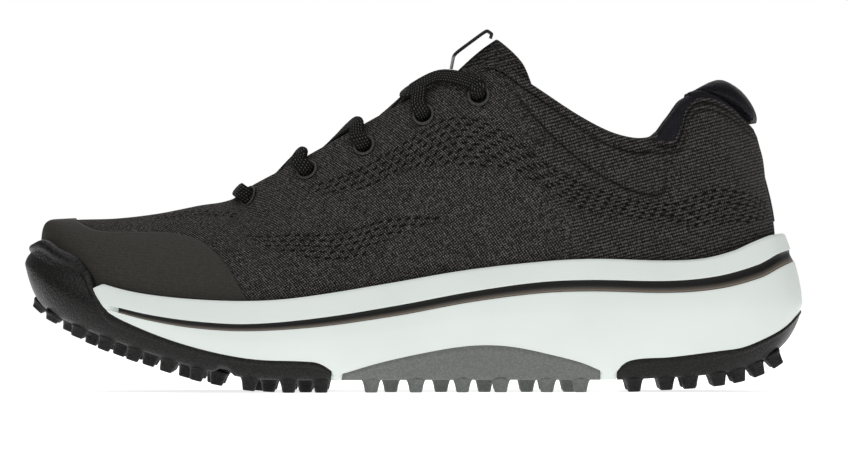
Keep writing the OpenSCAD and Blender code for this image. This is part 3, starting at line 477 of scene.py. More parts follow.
class Look:
    """A material whose nodes are chained by short calls. Lengths in it are millimetres."""

    def __init__(self, name, colour, roughness, sheen=0.0, specular=0.5):
        self.material = bpy.data.materials.new(name)
        self.material.use_nodes = True
        self.nodes = self.material.node_tree.nodes
        self.links = self.material.node_tree.links
        self.shader = self.nodes["Principled BSDF"]
        for socket, value in (("Base Color", (*colour, 1)), ("Roughness", roughness),
                              ("Sheen Weight", sheen), ("Specular IOR Level", specular)):
            self.shader.inputs[socket].default_value = value
        self.place = self.vector("SCALE", self.node("TexCoord").outputs["Object"], scale=1 / MM)

    def put(self, socket, value):
        if isinstance(value, bpy.types.NodeSocket):
            self.links.new(value, socket)
        else:
            socket.default_value = value

    def node(self, kind, **inputs):
        node = self.nodes.new("ShaderNode" + kind)
        for name, value in inputs.items():
            self.put(node.inputs[name], value)
        return node

    def vector(self, operation, a, b=None, scale=None):
        node = self.node("VectorMath")
        node.operation = operation
        self.put(node.inputs[0], a)
        if b is not None:
            self.put(node.inputs[1], b)
        if scale is not None:
            node.inputs["Scale"].default_value = scale
        return node.outputs["Value" if operation == "DOT_PRODUCT" else "Vector"]

    def math(self, operation, a, b=0.0, c=0.0):
        node = self.node("Math")
        node.operation = operation
        for socket, value in zip(node.inputs, (a, b, c)):
            self.put(socket, value)
        return node.outputs[0]

    def times(self, a, b):
        return self.math("MULTIPLY", a, b)

    def linear(self, a, factor, shift):
        return self.math("MULTIPLY_ADD", a, factor, shift)

    def attribute(self, name):
        node = self.node("Attribute")
        node.attribute_name = name
        return node.outputs["Fac"]

    def stripes(self, direction, pitch, shift=0.0):
        """A smooth wave from 0 to 1, with one crest each pitch along a direction."""
        angle = self.vector("DOT_PRODUCT", self.place, [2 * math.pi * d / pitch for d in direction])
        wave = self.math("SINE", self.math("ADD", angle, shift))
        return self.linear(wave, 0.5, 0.5)

    def noise(self, size, detail=2.0, roughness=0.5):
        node = self.node("TexNoise", Vector=self.place, Scale=1 / size, Detail=detail,
                         Roughness=roughness)
        return node.outputs["Fac"]

    def slots(self):
        """Slanted slots in rows, from the mesh's row number, place along the row and cover."""
        row, along = self.attribute("row"), self.attribute("along")
        nearest = self.math("ROUND", row)
        place = self.linear(nearest, SLOT_SHIFT, along)
        local = self.math("SUBTRACT", place, self.math("ROUND", place))
        across = self.linear(local, SLOT_SLANT, self.math("SUBTRACT", row, nearest))
        tall = self.math("LESS_THAN", self.math("ABSOLUTE", across), 0.16)
        long = self.math("LESS_THAN", self.math("ABSOLUTE", local), 0.29)
        inside = self.math("GREATER_THAN", self.attribute("cover"), 0.5)
        return self.times(self.times(tall, long), inside)

    def cells(self, size):
        return self.node("TexVoronoi", Vector=self.place, Scale=1 / size).outputs["Distance"]

    def ramp(self, factor, *stops):
        node = self.node("ValToRGB", Fac=factor)
        marks = node.color_ramp.elements
        while len(marks) < len(stops):
            marks.new(0.5)
        for mark, (where, colour) in zip(marks, stops):
            mark.position = where
            mark.color = (*colour, 1)
        return node.outputs["Color"]

    def blend(self, factor, a, b):
        node = self.node("Mix")
        node.data_type = "RGBA"
        self.put(node.inputs[0], factor)
        self.put(node.inputs[6], a if isinstance(a, bpy.types.NodeSocket) else (*a, 1))
        self.put(node.inputs[7], b if isinstance(b, bpy.types.NodeSocket) else (*b, 1))
        return node.outputs[2]

    def colour(self, socket):
        self.links.new(socket, self.shader.inputs["Base Color"])
        return self

    def rough(self, socket):
        self.links.new(socket, self.shader.inputs["Roughness"])
        return self

    def bump(self, height, depth):
        node = self.node("Bump", Distance=depth * MM, Height=height)
        self.links.new(node.outputs["Normal"], self.shader.inputs["Normal"])
        return self


def knit_look():
    look = Look("knit", (0.012, 0.0115, 0.011), 0.9, sheen=0.03, specular=0.08)
    wobble = look.times(look.noise(4.0), 2.5)
    rib = look.stripes((-0.26, 0, 0.96), 1.15, wobble)
    across = look.stripes((0.96, 0.3, 0.26), 0.85, wobble)
    loops = look.times(look.stripes((0.8, 0.5, 0.6), 0.9, wobble),
                       look.stripes((-0.6, 0.5, 0.8), 0.8, wobble))
    yarn = look.noise(0.8, 4.0, roughness=0.85)
    ribbed = look.times(look.linear(across, 0.6, 0.4), rib)
    ribs = look.attribute("ribs")
    pattern = look.math("ADD", look.times(ribbed, ribs),
                        look.times(loops, look.math("SUBTRACT", 1.0, ribs)))
    height = look.linear(yarn, 1.25, look.linear(pattern, 0.32, -0.12))
    shade = look.ramp(height, (0.36, (0.0028, 0.0026, 0.0025)), (0.58, (0.014, 0.0128, 0.0122)),
                      (0.85, (0.16, 0.147, 0.141)))
    shade = look.blend(look.times(ribs, 0.35), shade, (0.001, 0.001, 0.001))
    # Painted shade: the knit is darkened along its creases.
    shade = look.blend(look.attribute("seam"), shade, (0.002, 0.002, 0.0018))
    slot = look.slots()
    look.colour(look.blend(look.times(slot, 0.95), shade, (0.0015, 0.0015, 0.0014)))
    deep = look.linear(slot, -1.2, height)
    return look.bump(deep, 0.4).material


def lining_look():
    look = Look("lining", (0.006, 0.006, 0.008), 0.55, specular=0.1)
    weave = look.times(look.stripes((0.7, 0.7, 0), 1.1), look.stripes((0, 0.3, 0.95), 0.9))
    tint = look.ramp(look.noise(6.0), (0.3, (0.004, 0.004, 0.006)), (0.7, (0.009, 0.009, 0.013)))
    return look.colour(tint).bump(weave, 0.15).material


def pillow_look():
    look = Look("pillow_cloth", (0.003, 0.003, 0.004), 0.45, specular=0.09)
    weave = look.times(look.stripes((0.9, 0.3, -0.3), 0.8), look.stripes((0.3, 0.2, 0.9), 0.7))
    fine = look.linear(look.noise(0.5), 0.5, weave)
    tint = look.ramp(fine, (0.3, (0.002, 0.002, 0.0035)), (0.9, (0.007, 0.007, 0.011)))
    return look.colour(tint).bump(fine, 0.12).material


def film_look():
    look = Look("film", (0.024, 0.0225, 0.0185), 0.6, specular=0.2)
    threads = look.linear(look.stripes((0.1, 0, 1), 1.1, look.noise(3.0)), 0.12, look.noise(0.9, 3.0))
    tint = look.ramp(threads, (0.3, (0.016, 0.015, 0.012)), (0.8, (0.03, 0.028, 0.0235)))
    return look.colour(tint).bump(threads, 0.05).material


def rubber_look(name, dark, light, grain):
    look = Look(name, dark, 0.42, specular=0.2)
    pebble = look.math("SUBTRACT", 1.0, look.times(look.cells(0.8), 1.3))
    # The pebble grain's raised tops are painted lighter, a painted highlight, mixed with random flecks of
    # the rubber's own tone.
    fleck_and_peak_highlight = look.linear(look.noise(0.5), 0.35, look.times(pebble, 0.7))
    look.rough(look.linear(look.noise(3.0), 0.12, 0.36))
    return look.colour(look.ramp(fleck_and_peak_highlight, (0.3, dark), (0.85, light))).bump(fleck_and_peak_highlight, grain).material


def midsole_look():
    look = Look("midsole", (0.67, 0.713, 0.685), 0.5, specular=0.25)
    grain = look.noise(0.7)
    tint = look.ramp(look.noise(30.0), (0.3, (0.655, 0.7, 0.672)), (0.7, (0.685, 0.727, 0.698)))
    look.rough(look.linear(look.noise(5.0), 0.2, 0.4))
    return look.colour(tint).bump(grain, 0.02).material


def inlay_look():
    look = Look("inlay", (0.01, 0.009, 0.008), 0.45, specular=0.2)
    grain = look.noise(0.8)
    # Painted light and shade across the groove, from its lower edge up: a dark painted line, a painted
    # highlight line, a brownish painted reflection, then black, partly the inlay's own black and partly
    # painted shadow.
    band = look.linear(grain, 0.06, look.attribute("band"))
    tint = look.ramp(band, (0.06, (0.02, 0.016, 0.013)), (0.13, (0.19, 0.16, 0.13)),
                     (0.24, (0.085, 0.07, 0.057)), (0.42, (0.03, 0.025, 0.021)),
                     (0.5, (0.005, 0.0048, 0.0045)))
    return look.colour(tint).bump(grain, 0.02).material


def lace_look():
    look = Look("lace", (0.01, 0.0095, 0.009), 0.8, sheen=0.03, specular=0.1)
    along = look.attribute("along")
    side = look.attribute("side")
    ridge = look.linear(look.math("COSINE", look.times(side, 17.0)), 0.5, 0.5)
    slant = look.linear(along, 6.0, look.times(side, 5.0))
    stitch = look.linear(look.math("SINE", slant), 0.5, 0.5)
    braid = look.times(ridge, look.linear(stitch, 0.6, 0.4))
    height = look.linear(look.noise(0.4), 0.5, look.times(braid, 0.7))
    tint = look.ramp(height, (0.35, (0.0015, 0.0015, 0.0014)), (0.65, (0.006, 0.0057, 0.0052)),
                     (0.95, (0.09, 0.086, 0.08)))
    return look.colour(tint).bump(height, 0.35).material


def satin_look(name, dark, light, roughness):
    look = Look(name, dark, roughness, specular=0.25)
    grain = look.noise(0.8, 3.0)
    return look.colour(look.ramp(grain, (0.3, dark), (0.8, light))).bump(grain, 0.03).material


def ribbon_look():
    look = Look("ribbon", (0.006, 0.006, 0.0055), 0.6, specular=0.2)
    weave = look.linear(look.stripes((0.7, 0, 0.7), 0.6), 0.4, look.noise(0.6, 3.0))
    dark = look.ramp(weave, (0.3, (0.004, 0.004, 0.0037)), (0.9, (0.018, 0.017, 0.016)))
    pale = look.ramp(weave, (0.3, (0.2, 0.2, 0.195)), (0.9, (0.42, 0.41, 0.4)))
    return look.colour(look.blend(look.attribute("pale"), dark, pale)).bump(weave, 0.06).material


LOOKS = {
    "knit": knit_look(),
    "lining": lining_look(),
    "pillow": pillow_look(),
    "film": film_look(),
    "rubber": rubber_look("rubber", (0.0025, 0.0024, 0.0022), (0.013, 0.0124, 0.0116), 0.25),
    "plate": rubber_look("plate", (0.115, 0.121, 0.116), (0.165, 0.172, 0.166), 0.15),
    "midsole": midsole_look(),
    "inlay": inlay_look(),
    "lace": lace_look(),
    "ring": satin_look("eyelet_ring", (0.018, 0.017, 0.016), (0.05, 0.048, 0.045), 0.4),
    "ribbon": ribbon_look(),
    "foam": satin_look("foam", [0.16] * 3, [0.24] * 3, 0.9),
    "board": satin_look("board", (0.42, 0.38, 0.32), (0.55, 0.51, 0.44), 0.85),
    "plastic": satin_look("dark_plastic", (0.02, 0.02, 0.019), (0.035, 0.034, 0.032), 0.5),
}


# ---- Sole -----------------------------------------------------------------------------------------


def stations(start, end, each):
    return np.linspace(start, end, int(round((end - start) * each)) + 1)


def around(each):
    """Signed stations once round the shoe, finer at the toe and heel where the outline turns."""
    return np.linspace(-HEEL, HEEL, 2 * HEEL * each, endpoint=False)


def midsole_column(w):
    """Rows of the midsole from inside the cup, over the lip and down the outer wall."""
    x, e = plan_x(w), np.clip(edge_at(w), -0.98, 0.95)
    u = np.abs(w)
    bare = ((u > FOREFOOT_END) & (u < ARCH_START)) | ((u > ARCH_END) & (u < HEEL_START))
    cover = np.where(bare, 0.0, SOLE_SKIN)
    top = -1 + 0.45 * ease((-113 - x) / 5)
    lip_out = wall(w, top)
    cup = upper_inset(x) - CUP_CLEARANCE
    ground = outline_at(w)
    lip_inset = np.sum((ground - lip_out[..., :2]) * outline_out(w), -1)
    width = np.maximum(cup - lip_inset, 0.3)
    rows = [inside_edge(w, cup, mix(platform_z(w), lip_out[..., 2] - width / 2, k / 4)) for k in range(5)]
    for k in range(1, 8):
        a = math.pi * k / 8
        rows.append(inside_edge(w, lip_inset + width * (1 + math.cos(a)) / 2,
                                lip_out[..., 2] - width / 2 * (1 - math.sin(a))))
    edge = np.maximum(e, top + 0.02)
    ct = np.minimum(wall_at(w, channel_top(x) + CHANNEL_EXTRA), edge - 0.02)
    cl = np.minimum(wall_at(w, channel_low(x) - CHANNEL_EXTRA), edge - 0.01)
    ct = np.maximum(ct, top + 0.01)
    cl = np.maximum(cl, ct + 0.001)
    depth = CHANNEL_DEPTH * ease((x + 111) / 4)
    above, in_channel, below, under_outsole = 10, 12, 24, 8
    rows += [wall(w, mix(top, ct, (k + 0.5) / above)) for k in range(above)]
    for k in range(in_channel + 1):
        f = k / in_channel
        rows.append(wall(w, mix(ct, cl, f), depth * (1 - abs(2 * f - 1) ** 10)))
    rows += [wall(w, mix(cl, edge, k / below)) for k in range(1, below + 1)]
    limit = np.maximum(cup - lip_inset - 0.3, 0.2)
    for k in range(under_outsole + 1):
        a = mix(edge, 1, k / under_outsole)
        rows.append(wall(w, a, np.where(a < 0.2, np.minimum(cover, limit), cover)))
    return np.stack(rows, -2)


def midsole():
    ws = around(20)
    side = midsole_column(ws)
    points = side.reshape(-1, 3)
    faces = sheet_faces(len(ws), side.shape[1], wrap=True)
    # The platform inside the cup and the underside each close with a fan to the centre line.
    for row, turned in ((0, True), (side.shape[1] - 1, False)):
        ring = np.arange(len(ws)) * side.shape[1] + row
        half = len(ws) // 2
        for k in range(half):
            a, b = ring[k], ring[(k + 1) % len(ws)]
            c, d = ring[(len(ws) - k - 1) % len(ws)], ring[(len(ws) - k) % len(ws)]
            faces.append([a, b, c, d] if turned else [d, c, b, a])
    add_mesh("midsole", points, faces, "midsole", "midsole")


def channel_inlay():
    ws = np.linspace(3, 2 * HEEL - 3, 640)
    count = 14
    # These values run from 0 at the groove's lower edge to 1 at its top and place the painted light and
    # shade on the inlay.
    rows, deep, band = [], [], []
    ws = fold(ws)
    x = plan_x(ws)
    top, low = channel_top(x) + CHANNEL_EXTRA - 0.05, channel_low(x) - CHANNEL_EXTRA + 0.05
    for k in range(count + 1):
        f = k / count
        hollow = 0.35 + 0.75 * math.sin(math.pi * f) * (0.35 + 0.65 * f)
        a = wall_at(ws, mix(low, top, f))
        rows.append(wall(ws, a, hollow))
        deep.append(wall(ws, a, CHANNEL_DEPTH - 0.05))
        band.append(np.full(len(ws), f))
    points, faces = shell(np.stack(rows, 1), np.stack(deep, 1))
    add_mesh("channel_inlay", points, faces, "inlay", "inlay",
             values=shell_values(band=np.stack(band, 1)))


def stud(x, y):
    """A moulded stud square to the underside, flared at its root and rounded at its tip."""
    slope = float(floor_z(x + 1) - floor_z(x - 1)) / 2
    t = math.atan(slope)
    length = STUD_HEIGHT * mix(1, SHORT_STUD, float(ease((-112 - x) / 18))) + STUD_ROOT
    rings = lathe([
        [STUD_BASE + 0.5, 0], [STUD_BASE + 0.45, STUD_ROOT], [STUD_BASE + 0.05, STUD_ROOT + 0.5],
        [mix(STUD_BASE, STUD_TIP, 0.4), mix(STUD_ROOT, length, 0.4)],
        [STUD_TIP + 0.1, length - 0.6], [STUD_TIP - 0.05, length - 0.2], [STUD_TIP - 0.35, length],
        [STUD_TIP - 1.0, length], [STUD_TIP - 1.15, length - 0.3], [0.3, length - 0.35],
    ], 28)
    down = np.array([math.sin(t), 0, -math.cos(t)])
    side = np.array([0.0, 1.0, 0.0])
    root = np.array([x, y, float(floor_z(x)) + STUD_ROOT])
    return tube(placed(rings, root, np.cross(side, down), side, down))


def side_y(table, x):
    order = np.argsort(table[:, 0])
    return float(np.interp(x, table[order, 0], table[order, 1]))


def edge_studs(xs, inset):
    for x in xs:
        yield stud(x, side_y(INNER_SIDE, x) + inset)
        yield stud(x, side_y(OUTER_SIDE, x) - inset)


def field_studs(start, end, pitch, margin):
    for i in range(int((end - start) // pitch) + 1):
        x = start + i * pitch
        low, high = side_y(INNER_SIDE, x) + margin, side_y(OUTER_SIDE, x) - margin
        n = int((high - low) // pitch) - (i % 2)
        for k in range(n + 1):
            yield stud(x, (low + high) / 2 + (k - n / 2) * pitch)


def flex_notch(x):
    return 1.8 * window(x, -72, -69.5, -67, -64)


BEAD_START, BEAD_END, BEAD_STEP = 170, -40, -21  # degrees round the bead's section
PROUD = 0.45  # how far the outsole stands out from the midsole
FLOOR_STEPS = 30
WALL_STEPS = 24


def trough(start, end):
    """Outsole piece between two stations, proud of the midsole, with a bead along its edge that
    grows into the bumper round the toe."""
    us = stations(start, end, 20)
    outer_sides, inner_sides = [], []
    for sign in (-1, 1):
        w = sign * us
        x = plan_x(w)
        e = np.minimum(edge_at(w), 0.98) - 0.7 / np.maximum(rim(x) - belly(x), 8)
        toe = ease((-104 - x) / 22)
        radius, sunk = mix(1.0, 2.5, toe), mix(0.35, 1.7, toe)
        tall = radius / np.maximum(rim(x) - belly(x), 6)
        outer, inner = [], []
        for degrees in range(BEAD_START, BEAD_END - 1, BEAD_STEP):
            turn = math.radians(degrees)
            outer.append(wall(w, e + tall * (1 - math.sin(turn)), sunk - radius * math.cos(turn)))
            inner.append(wall(w, e + tall * 1.2, np.maximum(sunk + radius * 0.9, SOLE_SKIN * 0.8)))
        turned = e + tall * (1 - math.sin(math.radians(BEAD_END)))
        standing = sunk - radius * math.cos(math.radians(BEAD_END))
        for k in range(1, WALL_STEPS + 1):
            a = mix(turned, 1, k / WALL_STEPS)
            level = mix(standing, -PROUD, ease(k / 5))
            outer.append(wall(w, a, level * (1 - ease((a - 0.55) / 0.45))))
            inner.append(wall(w, np.minimum(a + 0.02, 1), SOLE_SKIN))
        outer_sides.append(np.stack(outer, 1))
        inner_sides.append(np.stack(inner, 1))
    shares = (np.arange(1, FLOOR_STEPS) / FLOOR_STEPS)[None, :, None]

    def across(left, right, lift):
        floor = mix(left[:, -1:, :], right[:, -1:, :], shares)
        floor[..., 2] = floor_z(floor[..., 0]) + lift
        return np.concatenate([left, floor, right[:, ::-1]], 1)

    outer = across(outer_sides[0], outer_sides[1], 0.0)
    depth = outer[..., 2] - floor_z(outer[..., 0])
    outer[..., 2] += flex_notch(outer[..., 0]) * (1 - ease(depth / 4))
    return shell(outer, across(inner_sides[0], inner_sides[1], SOLE_SKIN))


FOREFOOT_STUDS = [-129, -119.5, -109.7, -99.5, -87.5, -77, -58.7, -45, -33.4]
FOREFOOT_INNER = [-123, -114.5, -104.5, -94, -81, -70, -52, -39]
ARCH_STUDS = [-15.5, 0.5, 17.2, 30.9, 47.5, 59.5]
ARCH_INNER = [-8.5, 9.5, 25.1, 40.3, 55.5]
HEEL_STUDS = [78.6, 90.1, 98.4, 108.6, 115.5, 122, 128]
HEEL_INNER = [78.6, 90.1, 98.4, 108.6, 115.5]
EDGE_INSET = 8


def outsoles():
    forefoot = [trough(0, FOREFOOT_END), *edge_studs(FOREFOOT_STUDS, EDGE_INSET),
                *edge_studs(FOREFOOT_INNER, 18), *field_studs(-119.5, -39, 16, 30), stud(-134, -8)]
    arch = [trough(ARCH_START, ARCH_END), *edge_studs(ARCH_STUDS, EDGE_INSET), *edge_studs(ARCH_INNER, 17)]
    heel = [trough(HEEL_START, HEEL), *edge_studs(HEEL_STUDS, EDGE_INSET), *edge_studs(HEEL_INNER, 17),
            *field_studs(90.1, 109, 9.2, 27), stud(122, 0)]
    for name, parts, look, slot in (
        ("forefoot_outsole", forefoot, "rubber", "outsole"),
        ("midfoot_outsole", arch, "plate", "plate"),
        ("heel_outsole", heel, "rubber", "outsole"),
    ):
        add_mesh(name, *joined(parts), look, slot)


# ---- Upper's pieces -------------------------------------------------------------------------------

EYELETS = [[5.24, 0.89], [6.06, 0.86], [6.64, 0.82], [7.26, 0.82], [7.82, 0.8]]
HOLE = 3.35
HOLE_REACH = 9


def side_length():
    """Length along the middle of the side, and height of the side, by station."""
    us = np.linspace(0, HEEL, 400)
    line = skin(-us, 0.5 + 0 * us)
    along = run_length(line)
    ts = np.linspace(0, 1, 60)
    grid = skin(-us[:, None], ts[None, :])
    height = np.linalg.norm(np.diff(grid, axis=1), axis=2).sum(1)
    return us, along, height


US, ALONG, HEIGHT = side_length()

# Bands of slots in the knit: the top row's height and the number of rows, both by station, then
# the gap between rows and between slots.
BANDS = [
    (Curve([[5.9, 0.72], [6.5, 0.68], [7, 0.71], [7.5, 0.73], [8, 0.6], [8.5, 0.5], [9, 0.51],
            [10, 0.54], [10.5, 0.5], [11, 0.42], [12, 0.36]]),
     Curve([[5.7, 0], [6, 2], [6.5, 4], [7, 5], [7.5, 8], [8, 6], [8.5, 5], [9.5, 4], [10.5, 6],
            [11.2, 5], [12, 3], [12.3, 0]]), 2.5, 3.6),
    (Curve([[4.8, 0.52], [5, 0.5], [5.5, 0.44], [6, 0.37], [6.5, 0.36], [7.1, 0.3]]),
     Curve([[4.8, 0], [5, 2], [5.5, 4.5], [6.2, 5], [6.5, 3.4], [7, 1.2], [7.15, 0]]), 2.1, 3.3),
    (Curve([[3, 0.83], [4, 0.8], [5, 0.72]]),
     Curve([[3, 0], [3.3, 2], [4.6, 2], [5, 0]]), 3.0, 3.2),
]


def slot_rows(w, t):
    """Row number, place along the row and cover of the slots at each point of the knit."""
    u = np.abs(fold(w))
    along, height = np.interp(u, US, ALONG), np.interp(u, US, HEIGHT)
    row, place, cover = 0 * t - 9, 0 * t, 0 * t
    for top, count, row_gap, pitch in BANDS:
        here = (top(u) - t) * height / row_gap
        inside = np.clip(0.5 + 3 * np.minimum(here + 0.45, count(u) - 0.45 - here), 0, 1)
        inside *= (u > top.keys[0]) & (u < top.keys[-1] + 0.3)
        row = np.where(inside > cover, here, row)
        place = np.where(inside > cover, along / pitch, place)
        cover = np.maximum(cover, inside)
    return row, place, cover


def slot_depth(row, place, cover):
    nearest = np.round(row)
    local = place + SLOT_SHIFT * nearest
    local = local - np.round(local)
    across = row - nearest + SLOT_SLANT * local
    return (cover * (1 - ease((np.abs(across) - 0.1) / 0.25))
            * (1 - ease((np.abs(local) - 0.2) / 0.2)))


# Lower edge of the padded ankle, by station.
puff_edge = Curve([
    [8, 0.98], [8.25, 0.87], [8.5, 0.77], [8.8, 0.69], [9.2, 0.63], [9.6, 0.61], [9.9, 0.65],
    [10.1, 0.76], [10.3, 0.94],
])

# Height on the upper of the line where the lining turns out over the collar's rear corner.
turn_line = Curve([
    [10, 1], [10.2, 0.94], [10.43, 0.87], [10.65, 0.9], [10.8, 0.95], [11.1, 0.985], [13, 0.985],
])


def puff(w, t):
    """Swell of the padded ankle, with a crease along its lower edge."""
    u = np.abs(fold(w))
    height = np.interp(u, US, HEIGHT)
    over = (t - puff_edge(u)) * height
    span = window(u, 8.0, 8.5, 9.9, 10.35)
    swell = 1.5 * ease(over / 5) * (1 - 0.6 * ease((t - 0.85) / 0.15))
    crease = -0.6 * np.exp(-(over / 1.2) ** 2)
    below_top = (1 - t) * height
    welt = window(u, 7.8, 8.1, 9.9, 10.2) * -0.9 * np.exp(-((below_top - 3.6) / 0.8) ** 2)
    heel = 1.6 * ease((u - 11.8) / 1.2) * ease((t - 0.5) / 0.3) * (1 - 0.3 * ease((t - 0.93) / 0.07))
    return span * (swell + crease) + welt + heel


def seams(w, t):
    """Painted shade on the knit along its creases: below the binding, the pad's edge and the pipings."""
    u = np.abs(fold(w))
    height = np.interp(u, US, HEIGHT)
    below = (1 - t) * height
    front = window(u, 7.75, 8.0, 9.9, 10.1) * np.exp(-((below - 3.5) / 0.8) ** 2)
    pad = 0.9 * window(u, 8.0, 8.3, 9.9, 10.3) * np.exp(-((t - puff_edge(u)) * height / 0.7) ** 2)
    past = (turn_line(u) - t) * height
    lines = np.exp(-((past - 1.4) / 0.5) ** 2) + 0.8 * np.exp(-((past - 4) / 0.6) ** 2)
    rear = ease((u - 10) / 0.1) * lines
    return np.clip(front + pad + rear, 0, 0.9)


def knit_stations():
    """Signed stations round the upper, fine along the sides."""
    side = np.concatenate([
        np.linspace(0, 3, 30, endpoint=False), np.linspace(3, 11, 272, endpoint=False),
        np.linspace(11, HEEL, 45),
    ])
    return np.concatenate([-side[::-1][:-1], side[:-1]])


def eyelet_frames(sides=(-1, 1)):
    """Centre and axes of each eyelet, z pointing out of the upper."""
    for side in sides:
        for u, t in EYELETS:
            p, z = skin(side * u, t), skin_out(side * u, t)
            x = unit(np.cross(UP, z))
            yield p, x, np.cross(z, x), z


def corners(quads):
    """Which points of a grid are at a corner of the given quads."""
    found = np.zeros((quads.shape[0], quads.shape[1] + 1), bool)
    for turn in (0, 1):
        shifted = np.roll(quads, turn, 0)
        found[:, :-1] |= shifted
        found[:, 1:] |= shifted
    return found


def pierce(grid):
    """Snaps a grid's points round each eyelet to a circle and says which quads are left."""
    keep = np.ones((grid.shape[0], grid.shape[1] - 1), bool)
    snapped = grid.copy()
    flat = grid.reshape(-1, 3)
    for p, x, y, z in eyelet_frames():
        d = flat - p
        near = np.linalg.norm(d, axis=1) < HOLE_REACH
        r = np.hypot(d @ x, d @ y)
        inside = (near & (r < HOLE)).reshape(grid.shape[:2])
        centre = inside | np.roll(inside, -1, 0)
        quad = centre[:, :-1] | centre[:, 1:]
        keep &= ~quad
        for i, j in zip(*np.nonzero(corners(quad) & ~inside)):
            q = grid[i, j] - p
            a, b, h = q @ x, q @ y, q @ z
            scale = HOLE / max(math.hypot(a, b), 1e-6)
            snapped[i, j] = p + a * scale * x + b * scale * y + h * z
    return snapped, keep


def knit_upper():
    ws = knit_stations()
    ts = np.concatenate([np.linspace(0, 0.16, 6, endpoint=False),
                         np.linspace(0.16, 0.9, 44, endpoint=False), np.linspace(0.9, 1, 20)])
    w, t = lattice(ws, ts)
    row, place, cover = slot_rows(w, t)
    relief = puff(w, t) - 0.3 * slot_depth(row, place, cover)
    outer, inner = under(w, t, -relief), under(w, t, np.full(w.shape, KNIT))
    outer, keep = pierce(outer)
    inner = pierce_like(inner, keep, outer)
    points, faces = shell(outer, inner, wrap=True, keep=keep)
    faces = without_joined_rims(faces, points)
    ribs = ease((np.abs(w) - 7.9) / 0.8)
    # The crease values carry painted shade, on the knit's outer side only.
    values = shell_values(("cover", "seam"), row=row, along=place, cover=cover, ribs=ribs,
                          seam=seams(w, t))
    add_mesh("knit_upper", points, faces, "knit", "knit", nodes=["knit_forefoot", "knit_heel"],
             values=values)


def pierce_like(inner, keep, outer):
    """Carries the circles of the eyelet holes from the outer grid to the inner one."""
    result = inner.copy()
    frames = list(eyelet_frames())
    for i, j in zip(*np.nonzero(corners(~keep))):
        p, x, y, z = min(frames, key=lambda f: np.linalg.norm(outer[i, j] - f[0]))
        q = outer[i, j] - p
        result[i, j] = p + (q @ x) * x + (q @ y) * y + ((inner[i, j] - p) @ z) * z
    return result


def without_joined_rims(faces, points):
    """Drops the rim walls where the two sides of the vamp meet along its ridge."""
    _, index, counts = np.unique(weld_key(points), axis=0, return_inverse=True, return_counts=True)
    ridge = counts[index.reshape(-1)] > 1
    half = len(points) // 2
    return [f for f in faces if sum(i >= half for i in f) != 2 or not all(ridge[i] for i in f)]


def lining():
    ws = around(14)
    ts = np.linspace(0, 1, 44)
    w, t = lattice(ws, ts)
    points, faces = shell(under(w, t, lining_depth(w, t)), under(w, t, inside_depth(w, t)), wrap=True)
    parts = [(points, without_joined_rims(faces, points))]
    # Smooth cloth turned out over the collar's rear corners and up to the pillow.
    for side in (-1, 1):
        corner = side * np.linspace(10.02, 11.15, 60)
        wide, share = lattice(corner, np.linspace(0, 1, 14))
        high = mix(turn_line(np.abs(wide)), 1.0, share)
        parts.append(shell(under(wide, high, -(0.1 + 0.5 * np.sin(np.pi * share) ** 0.5)),
                           under(wide, high, 0 * high + SUNK)))
        parts.append(tube(wrapping_roll(corner, 1.5)))
    back = fold(np.linspace(10.95, 2 * HEEL - 10.95, 160))
    parts.append(tube(roll(back, 0 * back + 2.2, 1.9, 0 * back + 1.9, 0.8)))
    add_mesh("lining", *joined(parts), "lining", "lining")


GUARD_END = 4.85
GUARD_CLOSED = 0.7  # up to this station the guard reaches the ridge
FILM, FILM_EDGE = 0.5, 0.12
guard_height = Curve([
    [0, 1], [0.7, 1], [1.1, 0.8], [1.4, 0.71], [1.8, 0.61], [2.2, 0.57], [3, 0.58], [3.6, 0.56],
    [3.9, 0.52], [4.2, 0.45], [4.5, 0.3], [4.67, 0.16], [4.85, 0.03],
])


def toe_guard():
    """Film fused over the knit round the toe, thinner towards its edge."""
    ws = np.concatenate([-np.linspace(GUARD_END, 0.02, 130), np.linspace(0, GUARD_END, 130)])
    js = np.linspace(0, 1, 46)
    top = np.where(np.abs(ws) < GUARD_CLOSED, 1.0, guard_height(np.abs(ws)))
    w, share = lattice(ws, js)
    t = top[:, None] * share
    to_side = (top[:, None] - t) * np.interp(np.abs(w), US, HEIGHT)
    closed = np.abs(w) < GUARD_CLOSED
    edge = np.where(closed, 1.0, ease(to_side / 0.9)) * ease((GUARD_END - np.abs(w)) / 0.06)
    points, faces = shell(under(w, t, -(FILM_EDGE + FILM * edge)), under(w, t, 0 * t + SUNK))
    faces = without_joined_rims(faces, points)
    add_mesh("toe_guard", points, faces, "film", "film")


def eyelets():
    profile = [
        [2.95, -3.2], [3.25, -3.2], [3.3, 0.1], [3.9, 0.15], [4.1, 0.3], [4.12, 0.5], [3.95, 0.72],
        [3.6, 0.8], [3.2, 0.7], [3.0, 0.45],
    ]
    rings = lathe(profile, 40)
    faces = [f[::-1] for f in ring_faces(*rings.shape[:2], wrap=True)]
    for side, name in ((-1, "eyelets_medial"), (1, "eyelets_lateral")):
        parts = [(placed(rings, *axes), faces) for axes in eyelet_frames([side])]
        add_mesh(name, *joined(parts), "ring", "eyelet")


def collar_binding():
    """Rolled edge along the ankle, with a piping below it, and two pipings on round the heel."""
    parts = []
    for side in (-1, 1):
        w = side * np.linspace(7.95, 10.15, 110)
        parts.append(tube(wrapping_roll(w, 1.7)))
        w = side * np.linspace(7.9, 10.2, 110)
        parts.append(tube(roll(w, 0 * w + 0.42, 0.42, 0 * w - 0.05, -3.1)))
    w = fold(np.linspace(10.15, 2 * HEEL - 10.15, 300))
    for low, size in ((0.0, 0.6), (-2.8, 0.5)):
        parts.append(tube(roll(w, 0 * w + size, size, 0 * w - 0.15, low, turn_line(np.abs(w)))))
    size = sum(len(p.reshape(-1, 3)) for p, _ in parts)
    add_mesh("collar_binding", *joined(parts), "knit", "knit", values={"ribs": np.ones(size)})


